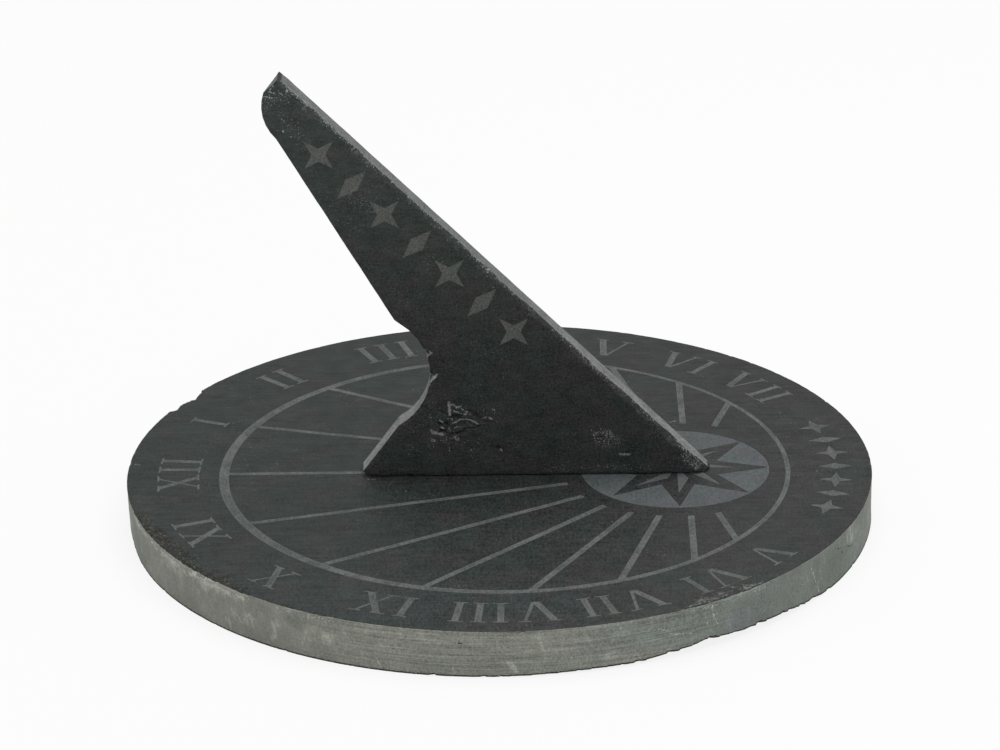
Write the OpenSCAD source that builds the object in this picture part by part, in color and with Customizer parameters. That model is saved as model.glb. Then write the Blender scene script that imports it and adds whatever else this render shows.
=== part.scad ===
// Horizontal garden sundial of hand-cut slate.
// +Z is up, +Y points along the noon line to XII, +X points to the afternoon side.
// The origin is the middle of the disc's underside.

/* [Slate disc] */
// Diameter of the disc at its top face
plate_d = 250; // [220:1:320]
// Thickness of the disc
plate_t = 16; // [12:0.5:24]
// How much further out the rim stands at the underside
rim_flare = 0; // [0:0.1:2]
// Worn bevel round the top edge
top_bevel = 0.6; // [0.2:0.1:1.5]
// Worn bevel round the bottom edge
bottom_bevel = 1; // [0.2:0.1:2]

/* [Dial layout] */
// Middle of the hour ring, measured east of the disc's middle
dial_east = -1.8; // [-4:0.1:4]
// Middle of the hour ring, measured north of the disc's middle
dial_north = -1.8; // [-4:0.1:4]
// Noon line and gnomon, measured east of the middle of the hour ring
noon_east = -1.1; // [-2:0.1:2]
// Point where the hour lines meet, measured south of the middle of the hour ring
hub_south = 61.3; // [56:0.1:66]
// Depth of the engraving
cut_depth = 0.3; // [0.2:0.1:1.2]

/* [Hour ring and lines] */
// Outer radius of the hour ring
ring_r = 95.8; // [92:0.1:100]
// Width of the hour ring where it is widest
ring_wide = 3.3; // [2.4:0.1:4]
// Width of the hour ring where it is narrowest
ring_narrow = 1.6; // [1:0.1:2.4]
// Bearing of the ring's widest place, west of north
ring_wide_west = 15; // [0:1:30]
// Width of an hour line
line_w = 2.2; // [1.4:0.1:3]
// Radius of the circle round the rose where the hour lines start
line_start_r = 37.8; // [34.5:0.1:42]
// Degrees that the hand-cut lines I to VII after noon swing past their 15 degree steps
afternoon_swing = [0, 0.4, 2, 0, 0, -0.3, 1.4]; // [-2:0.1:3]
// Degrees that the hand-cut lines XI to V before noon swing past their 15 degree steps
morning_swing = [0.3, 0.9, 0.7, 0.3, -0.8, -0.1, -1]; // [-2:0.1:2]

/* [Compass rose] */
// Middle of the rose, measured south of the middle of the hour ring
rose_south = 57.1; // [52:0.1:58]
// Middle of the rose, measured east of the noon line
rose_east = 0.3; // [-1:0.1:1]
// Radius of the rose
rose_r = 31.6; // [28:0.1:33]
// Radius at the bottom of the notches between the star's points
star_notch_r = 14.5; // [12:0.1:18]
// Radius at the tips of the small star inside
dart_r = 20.5; // [16:0.1:26]
// Radius at the notches of the small star inside
dart_notch_r = 9.3; // [6:0.1:11]
// Width of the dark rim left between the star's tips and the rose's edge
star_inset = 0.5; // [0.2:0.1:1.5]
// How far the star's middle stands east of the rose's middle
star_east = 0.5; // [-1:0.1:1]
// How far the star's middle stands south of the rose's middle
star_south = 0.7; // [-1:0.1:1]
// Degrees that the star's points swing past their 45 degree steps, clockwise from north
star_swing = [0, 0, 0, 1.5, 0, -3.7, 0, 0]; // [-4:0.1:4]

/* [Numerals] */
// Height of the numerals
num_h = 14; // [11:0.1:15]
// Radius of the circle that the feet of the numerals stand on
num_foot_r = 102.4; // [101.5:0.1:104]
// Width of a thick stroke
stroke_w = 2.2; // [1.6:0.1:2.6]
// Width of a thin stroke
thin_w = 1; // [0.6:0.1:1.4]
// How far a serif reaches past its stroke
serif_l = 1.5; // [0.8:0.1:1.8]
// Thickness of a serif
serif_t = 0.7; // [0.5:0.1:1]
// Spread of the two arms of a V at their tops
vee_spread = 9.6; // [8:0.1:11]
// Spread of the two arms of an X at their ends
ex_spread = 7.8; // [6.5:0.1:9]
// Gap between neighbouring letters
letter_gap = 1.6; // [1:0.1:2]
// Degrees that the numerals I to VII after noon stand past the 15 degree steps, set by eye
afternoon_nudge = [-0.6, -1.4, -1.7, -1, -0.5, -1.7, 1.5]; // [-3:0.1:3]
// Degrees that the numerals XI to V before noon stand past the 15 degree steps, set by eye
morning_nudge = [0.9, 0, -0.9, -1.4, -0.6, 1.1, 1.2]; // [-3:0.1:3]
// How much further out the numerals I to VII after noon stand, set by eye
afternoon_out = [0.6, 2.3, 2.4, 2, 1.7, 1.3, 1.4]; // [-1:0.1:3]
// How much further out the numerals XI to V before noon stand, set by eye
morning_out = [0.3, 0.5, -0.3, 0, 0.3, 0.1, 0.3]; // [-1:0.1:3]
// Size of the numerals I to VII after noon as a share of the usual one
afternoon_size = [0.95, 1.05, 1.05, 1, 1, 0.93, 0.95]; // [0.85:0.01:1.1]
// Size of the numerals XI to V before noon as a share of the usual one
morning_size = [1, 0.96, 1, 1, 0.98, 0.93, 0.92]; // [0.85:0.01:1.1]

/* [Ornament] */
// Number of motifs in each row of ornament
motif_count = 7; // [3:2:7]
// Height of the motifs on the dial
dial_motif_h = 12; // [9:0.1:13]
// Angle between neighbouring motifs on the dial
dial_motif_step = 5.7; // [5.2:0.1:6.2]
// How much further out the dial's motifs stand than the middle of the numerals
motif_out = 1.6; // [0:0.1:2.5]
// Height of the motifs on the gnomon
gnomon_motif_h = 13.6; // [10:0.1:14]
// Distance between neighbouring motifs on the gnomon
gnomon_motif_step = 14.8; // [13:0.1:15.5]
// Distance from the toe to the first motif, along the style
motif_start = 83.1; // [80:0.5:86]
// Distance from the style edge to the middle of the motifs
motif_down = 9.7; // [8.8:0.1:10.5]

/* [Gnomon] */
// Thickness of the gnomon's slate
gnomon_t = 8.4; // [7.8:0.1:12]
// Height of the gnomon's tip above the dial
gnomon_h = 141; // [130:0.1:150]
// Angle of the style, the upper edge that casts the shadow
style_angle = 45.1; // [44:0.1:47]
// Point where the style drawn on meets the dial, measured south of the middle of the hour ring
toe_south = 69.2; // [67:0.1:72]
// Height of the blunt end at the toe
toe_blunt = 1.1; // [0.8:0.1:3]
// How far the foot of the blunt end stands out
toe_out = 0.7; // [0:0.1:0.9]
// Angle of the straight back edge under the tip
back_angle = 60; // [59:0.5:61]
// Point where the back edge drawn on meets the dial, measured from the toe
back_foot = 72.2; // [71:0.1:74]
// Length of the gnomon's foot, toe to heel
foot_l = 118; // [114:0.1:120]
// Angle of the straight sloping edge over the heel
heel_angle = 53.3; // [52:0.1:58]
// Top of the straight edge over the heel, above the dial
heel_top_h = 18.6; // [16:0.1:20]
// Depth of the curve between the heel's straight edge and the waist
heel_bow = 3.4; // [2:0.1:4]
// Height of the worn corner at the heel
heel_blunt = 2; // [1:0.1:4]
// Height of the waist, the narrowest place, above the dial
waist_h = 39.2; // [36:0.1:42]
// Distance from the toe to the waist, measured level
waist_l = 93.5; // [90:0.1:95]
// Top of the hollow over the waist, above the dial
throat_h = 52.9; // [50:0.1:56]
// Distance of the hollow's top from the back edge drawn on
throat_in = 2.6; // [1.5:0.1:4]
// Depth of the hollow's curve
throat_bow = 1.3; // [0.5:0.1:2]
// Bottom of the straight back edge, above the dial
back_low_h = 56.6; // [55:0.1:60]
// Top of the straight back edge, above the dial
back_high_h = 120.5; // [112:0.1:124]
// Length of the bevel at the tip, measured level
tip_bevel_l = 4.9; // [3:0.1:6]
// Drop of the bevel at the tip
tip_bevel_drop = 4.4; // [3:0.1:6]
// Bulge of the rounded nose under the bevel
nose_bow = 2.4; // [1:0.1:3]

/* [Fixing] */
// Thickness of the resin bed under the gnomon
bed_t = 0.4; // [0.2:0.1:1]
// How far the bed stays back from the gnomon's faces
bed_inset = 1; // [0.5:0.1:2]
// Distance from the toe to the first screw
screw_first = 36; // [32:0.5:42]
// Distance between the two screws
screw_pitch = 50; // [44:0.5:54]
// Thread diameter of the screws
screw_d = 3.5; // [3:0.1:4]
// Length of the screws under the head
screw_l = 35; // [30:1:36]
// Thread pitch of the screws
thread_pitch = 1.4; // [1.2:0.1:1.8]
// Depth of the thread
thread_depth = 0.5; // [0.3:0.05:0.6]
// Head diameter of the screws
head_d = 6.9; // [6:0.1:7.5]
// Head height of the screws
head_h = 2.4; // [2:0.1:3]
// Outside diameter of the washers
washer_d = 11; // [9:0.1:12]
// Thickness of the washers
washer_t = 1; // [0.8:0.1:1.6]
// Outside diameter of the nylon plugs
plug_d = 5; // [4.8:0.1:5.5]
// Length of the nylon plugs
plug_l = 25; // [24:1:28]
// Depth of the counterbores in the disc's underside
counterbore_t = 5.6; // [5:0.1:6.5]
// Room round a washer in its counterbore
counterbore_room = 1.5; // [0.8:0.1:2]
// Room round a screw in the disc
shank_room = 0.5; // [0.3:0.1:1]
// Room round a screw in its plug, and round a plug in the gnomon
fit_room = 0.05; // [0.03:0.01:0.1]
// Spare depth over a plug in its hole
plug_room = 1; // [0.5:0.1:2]

/* [Hidden] */
$fn = 128;
eps = 0.01;
slate_dark = [0.27, 0.28, 0.28];
slate_black = [0.17, 0.18, 0.18];

ring = [dial_east, dial_north];
noon_x = dial_east + noon_east;
hub = [noon_x, dial_north - hub_south];
rose = [noon_x + rose_east, dial_north - rose_south];
toe_y = dial_north - toe_south;
ring_width_mean = (ring_wide + ring_narrow) / 2;
ring_hole_r = ring_r - ring_width_mean;
ring_hole_shift = (ring_wide - ring_narrow) / 2;
num_mid_r = num_foot_r + num_h / 2;
serif_w = stroke_w + 2 * serif_l;
morning = ["XI", "X", "IX", "VIII", "VII", "VI", "V"];
afternoon = ["I", "II", "III", "IIII", "V", "VI", "VII"];
gnomon_z = plate_t + bed_t;
screw_places = [for (i = [0, 1]) [noon_x, toe_y + screw_first + i * screw_pitch]];
head_top = counterbore_t - washer_t;

// Point at a bearing, clockwise from north, and a distance from the origin
function at_bearing(bearing, r) = [r * sin(bearing), r * cos(bearing)];
// Regular star with its first tip to the north
function star(tips, tip_r, notch_r) =
    [for (i = [0:2 * tips - 1]) at_bearing(i * 180 / tips, i % 2 == 0 ? tip_r : notch_r)];
// Arc from a to b that stands out to the right of the way from a to b, or to the left if rise is negative
function bow(a, b, rise, n) =
    let (mid = (a + b) / 2, half = norm(b - a) / 2, r = (half * half + rise * rise) / (2 * rise),
         side = [b[1] - a[1], a[0] - b[0]] / (2 * half), c = mid - side * (r - rise),
         start = atan2(a[1] - c[1], a[0] - c[0]), turn = 2 * asin(half / r))
    [for (i = [0:n]) c + abs(r) * [cos(start + turn * i / n), sin(start + turn * i / n)]];
// Bearing from the ring's middle at which an hour line drawn on crosses the numerals' foot circle
function hour_bearing(angle) =
    let (h = [hub[0] - ring[0], hub[1] - ring[1]], d = at_bearing(angle, 1), along = -(h * d),
         reach = along + sqrt(num_foot_r * num_foot_r - (h * h - along * along)), p = h + reach * d)
    atan2(p[0], p[1]);

function letter_w(c) = c == "I" ? serif_w : (c == "V" ? vee_spread : ex_spread) + serif_w;
function text_w(s, n) = n == 0 ? 0 : letter_w(s[n - 1]) + (n > 1 ? letter_gap : 0) + text_w(s, n - 1);

// One stroke from x = low at the foot to x = high at the top, as a parallelogram
module stroke(low, high, w) {
    polygon([[low - w / 2, 0], [low + w / 2, 0], [high + w / 2, num_h], [high - w / 2, num_h]]);
}

// Serif that sits at height y, with its small brackets towards the stroke
module serif(x, y, w) {
    inward = y == 0 ? 1 : -1;
    reach = w / 2 + serif_l;
    polygon([[x - reach, y], [x + reach, y], [x + reach - serif_t / 2, y + inward * serif_t],
             [x - reach + serif_t / 2, y + inward * serif_t]]);
}

module letter_i() {
    stroke(0, 0, stroke_w);
    serif(0, 0, stroke_w);
    serif(0, num_h, stroke_w);
}

module letter_v() {
    arm = vee_spread / 2;
    stroke(0, -arm, stroke_w * 1.15);
    stroke(stroke_w / 3, arm, thin_w * 1.15);
    serif(-arm, num_h, stroke_w);
    serif(arm, num_h, thin_w * 1.6);
}

module letter_x() {
    arm = ex_spread / 2;
    stroke(arm, -arm, stroke_w * 1.15);
    stroke(-arm, arm, thin_w * 1.15);
    for (y = [0, num_h]) {
        serif(y == 0 ? arm : -arm, y, stroke_w);
        serif(y == 0 ? -arm : arm, y, thin_w * 1.6);
    }
}

// Roman numeral with its feet to the ring's middle, each letter turned along the circle
module numeral(s, bearing, out, size) {
    whole = text_w(s, len(s));
    for (i = [0:len(s) - 1]) {
        middle = (text_w(s, i) + (i > 0 ? letter_gap : 0) + letter_w(s[i]) / 2 - whole / 2) * size;
        rotate(-bearing - middle / num_mid_r * 180 / PI)
            translate([0, num_mid_r + out - size * num_h / 2]) scale(size) {
                if (s[i] == "I") letter_i();
                if (s[i] == "V") letter_v();
                if (s[i] == "X") letter_x();
            }
    }
}

module numerals() {
    translate(ring) {
        numeral("XII", hour_bearing(0), 0, 1);
        for (i = [0:6]) {
            numeral(afternoon[i], hour_bearing(15 * (i + 1)) + afternoon_nudge[i],
                afternoon_out[i], afternoon_size[i]);
            numeral(morning[i], hour_bearing(-15 * (i + 1)) - morning_nudge[i],
                morning_out[i], morning_size[i]);
        }
    }
}

// Hour ring: the hole stands a little off the ring's middle, so that the band is wider to the north
module hour_ring() {
    translate(ring) difference() {
        circle(ring_r);
        translate(at_bearing(180 - ring_wide_west, ring_hole_shift)) circle(ring_hole_r);
    }
}

module hour_line(angle) {
    rotate(-angle) translate([-line_w / 2, 0]) square([line_w, 2 * ring_r]);
}

// Hour lines from the hub, kept between the ring and the circle round the rose
module hour_lines() {
    difference() {
        intersection() {
            translate(ring) circle(ring_r - ring_narrow / 2);
            translate(hub) {
                hour_line(0);
                for (i = [0:6]) {
                    hour_line(15 * (i + 1) + afternoon_swing[i]);
                    hour_line(-15 * (i + 1) - morning_swing[i]);
                }
            }
        }
        translate(rose) circle(line_start_r);
    }
}

// Sunk field of the rose, with an eight-pointed star left standing and one half of each
// point of a smaller star sunk inside it. The star stands a little off the field's middle.
module compass_rose() {
    tip_r = rose_r - star_inset;
    translate(rose) {
        difference() {
            circle(rose_r);
            intersection() {
                circle(tip_r);
                translate([star_east, -star_south]) polygon([for (i = [0:15]) i % 2 == 0
                    ? at_bearing(i * 22.5 + star_swing[i / 2], tip_r)
                    : at_bearing(i * 22.5, star_notch_r)]);
            }
        }
        translate([star_east, -star_south]) for (i = [0:7]) rotate(45 * i)
            polygon([[0, 0], at_bearing(0, dart_r), at_bearing(-22.5, dart_notch_r)]);
    }
}

// Four-pointed star or lozenge, h high
module motif(i, h) {
    if (i % 2 == 0) polygon(star(4, h / 2, h * 0.17));
    else polygon([[0, -h / 2], [h * 0.2, 0], [0, h / 2], [-h * 0.2, 0]]);
}

module dial_ornament() {
    translate(ring) for (i = [0:motif_count - 1])
        rotate(180 + (i - (motif_count - 1) / 2) * dial_motif_step)
            translate([0, num_mid_r + motif_out]) motif(i, dial_motif_h);
}

// Where the resin lies, in plan
module bed_plan(inset) {
    translate([noon_x - gnomon_t / 2 + inset, toe_y + toe_blunt + inset])
        square([gnomon_t - 2 * inset, foot_l - toe_blunt - heel_blunt - 2 * inset]);
}

module engraving() {
    difference() {
        union() {
            hour_ring();
            hour_lines();
            compass_rose();
            numerals();
            dial_ornament();
        }
        bed_plan(bed_inset);
    }
}

module dial_plate() {
    top_r = plate_d / 2;
    low_r = top_r + rim_flare;
    color(slate_dark) difference() {
        rotate_extrude() polygon([
            [0, 0], [low_r - bottom_bevel, 0], [low_r, bottom_bevel],
            [top_r, plate_t - top_bevel], [top_r - top_bevel, plate_t], [0, plate_t]]);
        translate([0, 0, plate_t - cut_depth]) linear_extrude(cut_depth + 1) engraving();
        for (p = screw_places) translate([p[0], p[1], 0]) {
            translate([0, 0, -1]) cylinder(h = plate_t + 2, d = screw_d + 2 * shank_room);
            translate([0, 0, -1]) cylinder(h = counterbore_t + 1, d = washer_d + counterbore_room);
        }
    }
}

// Outline of the gnomon from the toe, with x along the foot and y up
module gnomon_outline() {
    apex = [gnomon_h / tan(style_angle), gnomon_h];
    nose = apex + [tip_bevel_l, -tip_bevel_drop];
    back_high = [back_foot + back_high_h / tan(back_angle), back_high_h];
    back_low = [back_foot + back_low_h / tan(back_angle), back_low_h];
    throat = [back_foot + throat_h / tan(back_angle) - throat_in, throat_h];
    waist = [waist_l, waist_h];
    heel_top = [foot_l - heel_top_h / tan(heel_angle), heel_top_h];
    heel = [foot_l - heel_blunt / tan(heel_angle), heel_blunt];
    polygon(concat(
        [[toe_blunt / tan(style_angle) - toe_out, bed_t], [heel[0] - heel_blunt + bed_t, bed_t], heel],
        bow(heel_top, waist, -heel_bow, 8),
        bow(waist, throat, -throat_bow, 8),
        [back_low],
        bow(back_high, nose, nose_bow, 6),
        [apex, [toe_blunt / tan(style_angle), toe_blunt]]));
}

module gnomon() {
    color(slate_black) difference() {
        translate([noon_x - gnomon_t / 2, toe_y, plate_t]) rotate([90, 0, 90]) difference() {
            linear_extrude(gnomon_t) gnomon_outline();
            translate([0, 0, -1]) linear_extrude(cut_depth + 1) rotate(style_angle)
                for (i = [0:motif_count - 1])
                    translate([motif_start + i * gnomon_motif_step, -motif_down]) motif(i, gnomon_motif_h);
        }
        for (p = screw_places) translate([p[0], p[1], gnomon_z - eps])
            cylinder(h = plug_l + plug_room + eps, d = plug_d + 2 * fit_room);
    }
}

module gnomon_bedding() {
    color([0.35, 0.35, 0.34]) difference() {
        translate([0, 0, plate_t]) linear_extrude(bed_t) bed_plan(bed_inset);
        for (p = screw_places) translate([p[0], p[1], plate_t - 1])
            cylinder(h = bed_t + 2, d = screw_d + 2 * shank_room);
    }
}

// Pan-head screw standing on its head, with the underside of the head at height zero
module screw() {
    root_r = screw_d / 2 - thread_depth;
    ridges = floor((screw_l - screw_d - (plate_t - counterbore_t)) / thread_pitch);
    thread_z = screw_l - screw_d - ridges * thread_pitch;
    difference() {
        rotate_extrude() polygon(concat(
            [[0, -head_h], [head_d * 0.3, -head_h], [head_d / 2, -head_h * 0.45], [head_d / 2, 0],
             [root_r, 0], [root_r, thread_z]],
            [for (i = [0:ridges - 1], k = [0, 1])
                [k == 0 ? screw_d / 2 : root_r, thread_z + (i + (k == 0 ? 0.5 : 1)) * thread_pitch]],
            [[0, screw_l]]));
        for (turn = [0, 90]) rotate(turn) translate([-head_d * 0.28, -head_d * 0.06, -head_h - 1])
            cube([head_d * 0.56, head_d * 0.12, head_h * 0.6 + 1]);
    }
}

module gnomon_screws() {
    color("silver") for (p = screw_places) translate([p[0], p[1], head_top]) screw();
}

module screw_washers() {
    color("lightgrey") for (p = screw_places) translate([p[0], p[1], head_top]) difference() {
        cylinder(h = washer_t, d = washer_d);
        translate([0, 0, -1]) cylinder(h = washer_t + 2, d = screw_d + shank_room);
    }
}

module gnomon_plugs() {
    color("ivory") for (p = screw_places) translate([p[0], p[1], gnomon_z]) difference() {
        cylinder(h = plug_l, d = plug_d);
        translate([0, 0, -1]) cylinder(h = plug_l + 2, d = screw_d + 2 * fit_room);
    }
}

dial_plate();
gnomon();
gnomon_bedding();
gnomon_screws();
screw_washers();
gnomon_plugs();
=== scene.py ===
import math

import bpy
import numpy as np
from mathutils import Matrix, Vector
from mathutils.geometry import delaunay_2d_cdt


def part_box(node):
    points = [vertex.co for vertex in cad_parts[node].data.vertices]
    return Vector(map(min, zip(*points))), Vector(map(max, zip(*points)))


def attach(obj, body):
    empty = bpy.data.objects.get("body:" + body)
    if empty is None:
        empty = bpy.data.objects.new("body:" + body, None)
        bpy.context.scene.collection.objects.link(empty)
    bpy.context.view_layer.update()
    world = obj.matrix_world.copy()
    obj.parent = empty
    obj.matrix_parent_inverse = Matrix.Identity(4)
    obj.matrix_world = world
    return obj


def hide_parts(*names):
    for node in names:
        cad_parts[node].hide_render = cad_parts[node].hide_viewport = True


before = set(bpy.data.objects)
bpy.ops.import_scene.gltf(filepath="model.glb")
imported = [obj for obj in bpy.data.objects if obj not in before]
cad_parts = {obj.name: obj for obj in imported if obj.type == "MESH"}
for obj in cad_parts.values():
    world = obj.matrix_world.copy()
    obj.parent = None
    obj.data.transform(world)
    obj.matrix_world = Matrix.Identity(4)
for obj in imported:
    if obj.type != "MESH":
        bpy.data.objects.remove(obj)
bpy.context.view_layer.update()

# Shapes are worked out in millimetres and put into the meshes in metres
mm = 0.001


# Low and high corner of a CAD node in millimetres
def boxOf(node):
    low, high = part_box(node)
    return np.array(low) / mm, np.array(high) / mm


plateLow, plateHigh = boxOf("dial_plate")
gnomonLow, gnomonHigh = boxOf("gnomon")
plateTop = plateHigh[2]
plateRadius = (plateHigh[0] - plateLow[0]) / 2
# Depth of the engraving in the CAD solids
cutDepth = 0.3
# Near where the line of the style meets the dial, and the origin of all places on the gnomon's face
toeY = gnomonLow[1] - 0.2
styleAngle = math.radians(45.1)
print("frame loaded: disc radius %.1f, thickness %.1f" % (plateRadius, plateTop))


# Noise on arrays of points

# A number from 0 to 1 for each lattice corner: its whole-number coordinates multiplied, added and scrambled
def cornerValue(i, j, k, seed):
    n = i * 374761393 + j * 668265263 + k * 974634777 + seed * 144269
    n = (n ^ (n >> 13)) * 1274126177
    n = n ^ (n >> 16)
    return (n & 0xFFFFFF) / 0xFFFFFF


# Smooth noise from -1 to 1: the eight corner values round a point, blended by t*t*(3 - 2*t) along each axis
def smoothNoise(points, size, seed):
    scaled = points / np.asarray(size, float)
    base = np.floor(scaled).astype(np.int64)
    part = scaled - base
    part = part * part * (3 - 2 * part)
    total = np.zeros(points.shape[:-1])
    for corner in range(8):
        step = np.array([corner & 1, corner >> 1 & 1, corner >> 2])
        weight = np.prod(np.where(step == 1, part, 1 - part), axis=-1)
        total += weight * cornerValue(*np.moveaxis(base + step, -1, 0), seed)
    return total * 2 - 1


# Rough noise: smooth noise summed, each layer half the size and half the height of the one before
def roughNoise(points, size, layers, seed):
    layer = np.arange(layers)
    size = np.asarray(size, float)
    total = sum(smoothNoise(points, size / 2**n, seed + n) / 2**n for n in layer)
    return total / np.sum(0.5**layer)


# Coordinates, as arrays or numbers, put together as points
def spread(*parts):
    return np.stack(np.broadcast_arrays(*parts), axis=-1).astype(float)


# 0 at low, 1 at high and t*t*(3 - 2*t) between, where low may be the larger
def smoothStep(low, high, value):
    t = np.clip((value - low) / (high - low), 0, 1)
    return t * t * (3 - 2 * t)


# Of two tones at each point, the one further from nothing
def stronger(first, second):
    return np.where(np.abs(second) > np.abs(first), second, first)


# Outlines lifted from the CAD solids, and flat nets between them

# Edges round the flat faces of a CAD node at one height along an axis: those that only one triangle uses
def cadOutline(node, axis, height):
    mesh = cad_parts[node].data
    mesh.calc_loop_triangles()
    corners = np.empty(len(mesh.vertices) * 3, np.float32)
    mesh.vertices.foreach_get("co", corners)
    index = np.empty(len(mesh.loop_triangles) * 3, np.int32)
    mesh.loop_triangles.foreach_get("vertices", index)
    triangles = (corners.reshape(-1, 3) / mm)[index.reshape(-1, 3)]
    flat = np.all(np.abs(triangles[..., axis] - height) < 0.01, axis=1)
    kept = np.delete(triangles[flat], axis, axis=2)
    points, index = np.unique(kept.reshape(-1, 2).round(3), axis=0, return_inverse=True)
    return points, openEdges(index.reshape(-1, 3))


# Directed edges of triangles that no neighbour uses the other way round
def openEdges(triangles):
    edges = np.concatenate([triangles[:, [0, 1]], triangles[:, [1, 2]], triangles[:, [2, 0]]])
    edges = edges[edges[:, 0] != edges[:, 1]]
    key = edges.min(1) * (triangles.max() + 1) + edges.max(1)
    first, count = np.unique(key, return_index=True, return_counts=True)[1:]
    return edges[first[count == 1]]


# Every edge cut into equal parts no longer than step, with the shared ends merged
def cutEdges(points, edges, step):
    start, end = points[edges[:, 0]], points[edges[:, 1]]
    parts = np.ceil(np.linalg.norm(end - start, axis=1) / step).astype(int)
    which = np.repeat(np.arange(len(edges)), parts)
    count = np.arange(len(which)) - np.repeat(np.cumsum(parts) - parts, parts)
    ends = [start[which] + (end - start)[which] * ((count + k) / parts[which])[:, None] for k in (0, 1)]
    merged, index = np.unique(np.stack(ends, 1).reshape(-1, 2).round(4), axis=0, return_inverse=True)
    return merged, index.reshape(-1, 2)


# Distance from each point to the nearest of some others
def gapTo(points, others):
    others = others.astype(np.float32)
    gaps = [
        np.sqrt(((part[:, None] - others[None]) ** 2).sum(-1)).min(1)
        for part in np.array_split(points.astype(np.float32), len(points) // 500 + 1)
    ]
    return np.concatenate(gaps)


# Whether each point lies inside closed outlines: it does if a ray from it crosses an odd number of edges
def isInside(points, corners, edges):
    a, b = corners[edges[:, 0]], corners[edges[:, 1]]
    level = a[:, 1] != b[:, 1]
    a, b = a[level], b[level]
    slope = (b[:, 0] - a[:, 0]) / (b[:, 1] - a[:, 1])
    inside = []
    for part in np.array_split(points, len(points) // 1000 + 1):
        x, y = part[:, :1], part[:, 1:]
        crossed = (a[:, 1] > y) != (b[:, 1] > y)
        inside.append(np.sum(crossed & (x < a[:, 0] + slope * (y - a[:, 1])), axis=1) % 2 == 1)
    return np.concatenate(inside)


# Scattered points on a grid of the given spacing, each moved at random by up to a quarter of it
def scattered(low, high, spacing, seed):
    x, y = np.meshgrid(np.arange(low[0], high[0], spacing), np.arange(low[1], high[1], spacing))
    points = np.stack([x, y], -1).reshape(-1, 2)
    return points + np.random.default_rng(seed).uniform(-spacing / 4, spacing / 4, points.shape)


# Circle of points, counterclockwise, with its edges
def circlePoints(centre, radius, count):
    turn = np.arange(count) * 2 * np.pi / count
    points = np.stack([centre[0] + radius * np.cos(turn), centre[1] + radius * np.sin(turn)], -1)
    return points, np.stack([np.arange(count), np.roll(np.arange(count), -1)], -1)


# Several outlines as one, with the numbers of their points moved on
def joinOutlines(*outlines):
    starts = np.cumsum([0] + [len(points) for points, edges in outlines])
    points = np.concatenate([points for points, edges in outlines])
    return points, np.concatenate([edges + start for (points, edges), start in zip(outlines, starts)])


# Those points that lie within a radius and further from the outlines than room
def keepClear(points, radius, outline, room):
    points = points[np.hypot(*points.T) < radius]
    return points[gapTo(points, outline[0]) > room]


# Net of triangles over outline points and loose points that keeps each outline edge
def flatNet(outline, loose):
    points, edges = outline
    every = np.concatenate([points, loose])
    corners, _, faces, *_ = delaunay_2d_cdt(every.tolist(), edges.tolist(), [], 0, 1e-6)
    corners, faces = np.array(corners), np.array(faces)
    return corners, faces, corners[faces].mean(1)


# Triangles of a grid of rows by columns that runs outwards row by row and counterclockwise along each row
def gridTriangles(rows, columns, closed):
    row, column = np.meshgrid(np.arange(rows - 1), np.arange(columns - (not closed)), indexing="ij")
    here = row * columns + column
    beside = row * columns + (column + 1) % columns
    below, across = here + columns, beside + columns
    cells = [np.stack([here, below, across], -1), np.stack([here, across, beside], -1)]
    return np.concatenate(cells).reshape(-1, 3)


# Marks left along lines, each as half width, tone, depth and the points of its line times scale: how deep
# each place lies and how pale it is or, below nothing, how dark. A mark fades from its line out to its half
# width.
def markField(x, y, marks, seed, scale=(1, 1)):
    ragged = roughNoise(spread(x, y, 0), 1.0, 2, seed)
    depth, tone = np.zeros_like(x), np.zeros_like(x)
    for half, shade, deep, *line in marks:
        line = np.reshape(line, (-1, 2)) * np.asarray(scale, float)
        low, high = line.min(0) - 2 * half, line.max(0) + 2 * half
        near = (x > low[0]) & (x < high[0]) & (y > low[1]) & (y < high[1])
        point = np.stack([x[near], y[near]], -1)
        gap = np.full(len(point), np.inf)
        for start, end in zip(line, line[1:] if len(line) > 1 else line):
            way = end - start
            share = np.clip((point - start) @ way / max(way @ way, 1e-9), 0, 1)
            gap = np.minimum(gap, np.linalg.norm(point - start - share[:, None] * way, axis=1))
        weight = smoothStep(1.1, 0.35, gap / half + 0.6 * ragged[near])
        depth[near] = np.maximum(depth[near], deep * weight)
        tone[near] = stronger(tone[near], shade * weight)
    return depth, tone


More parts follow.
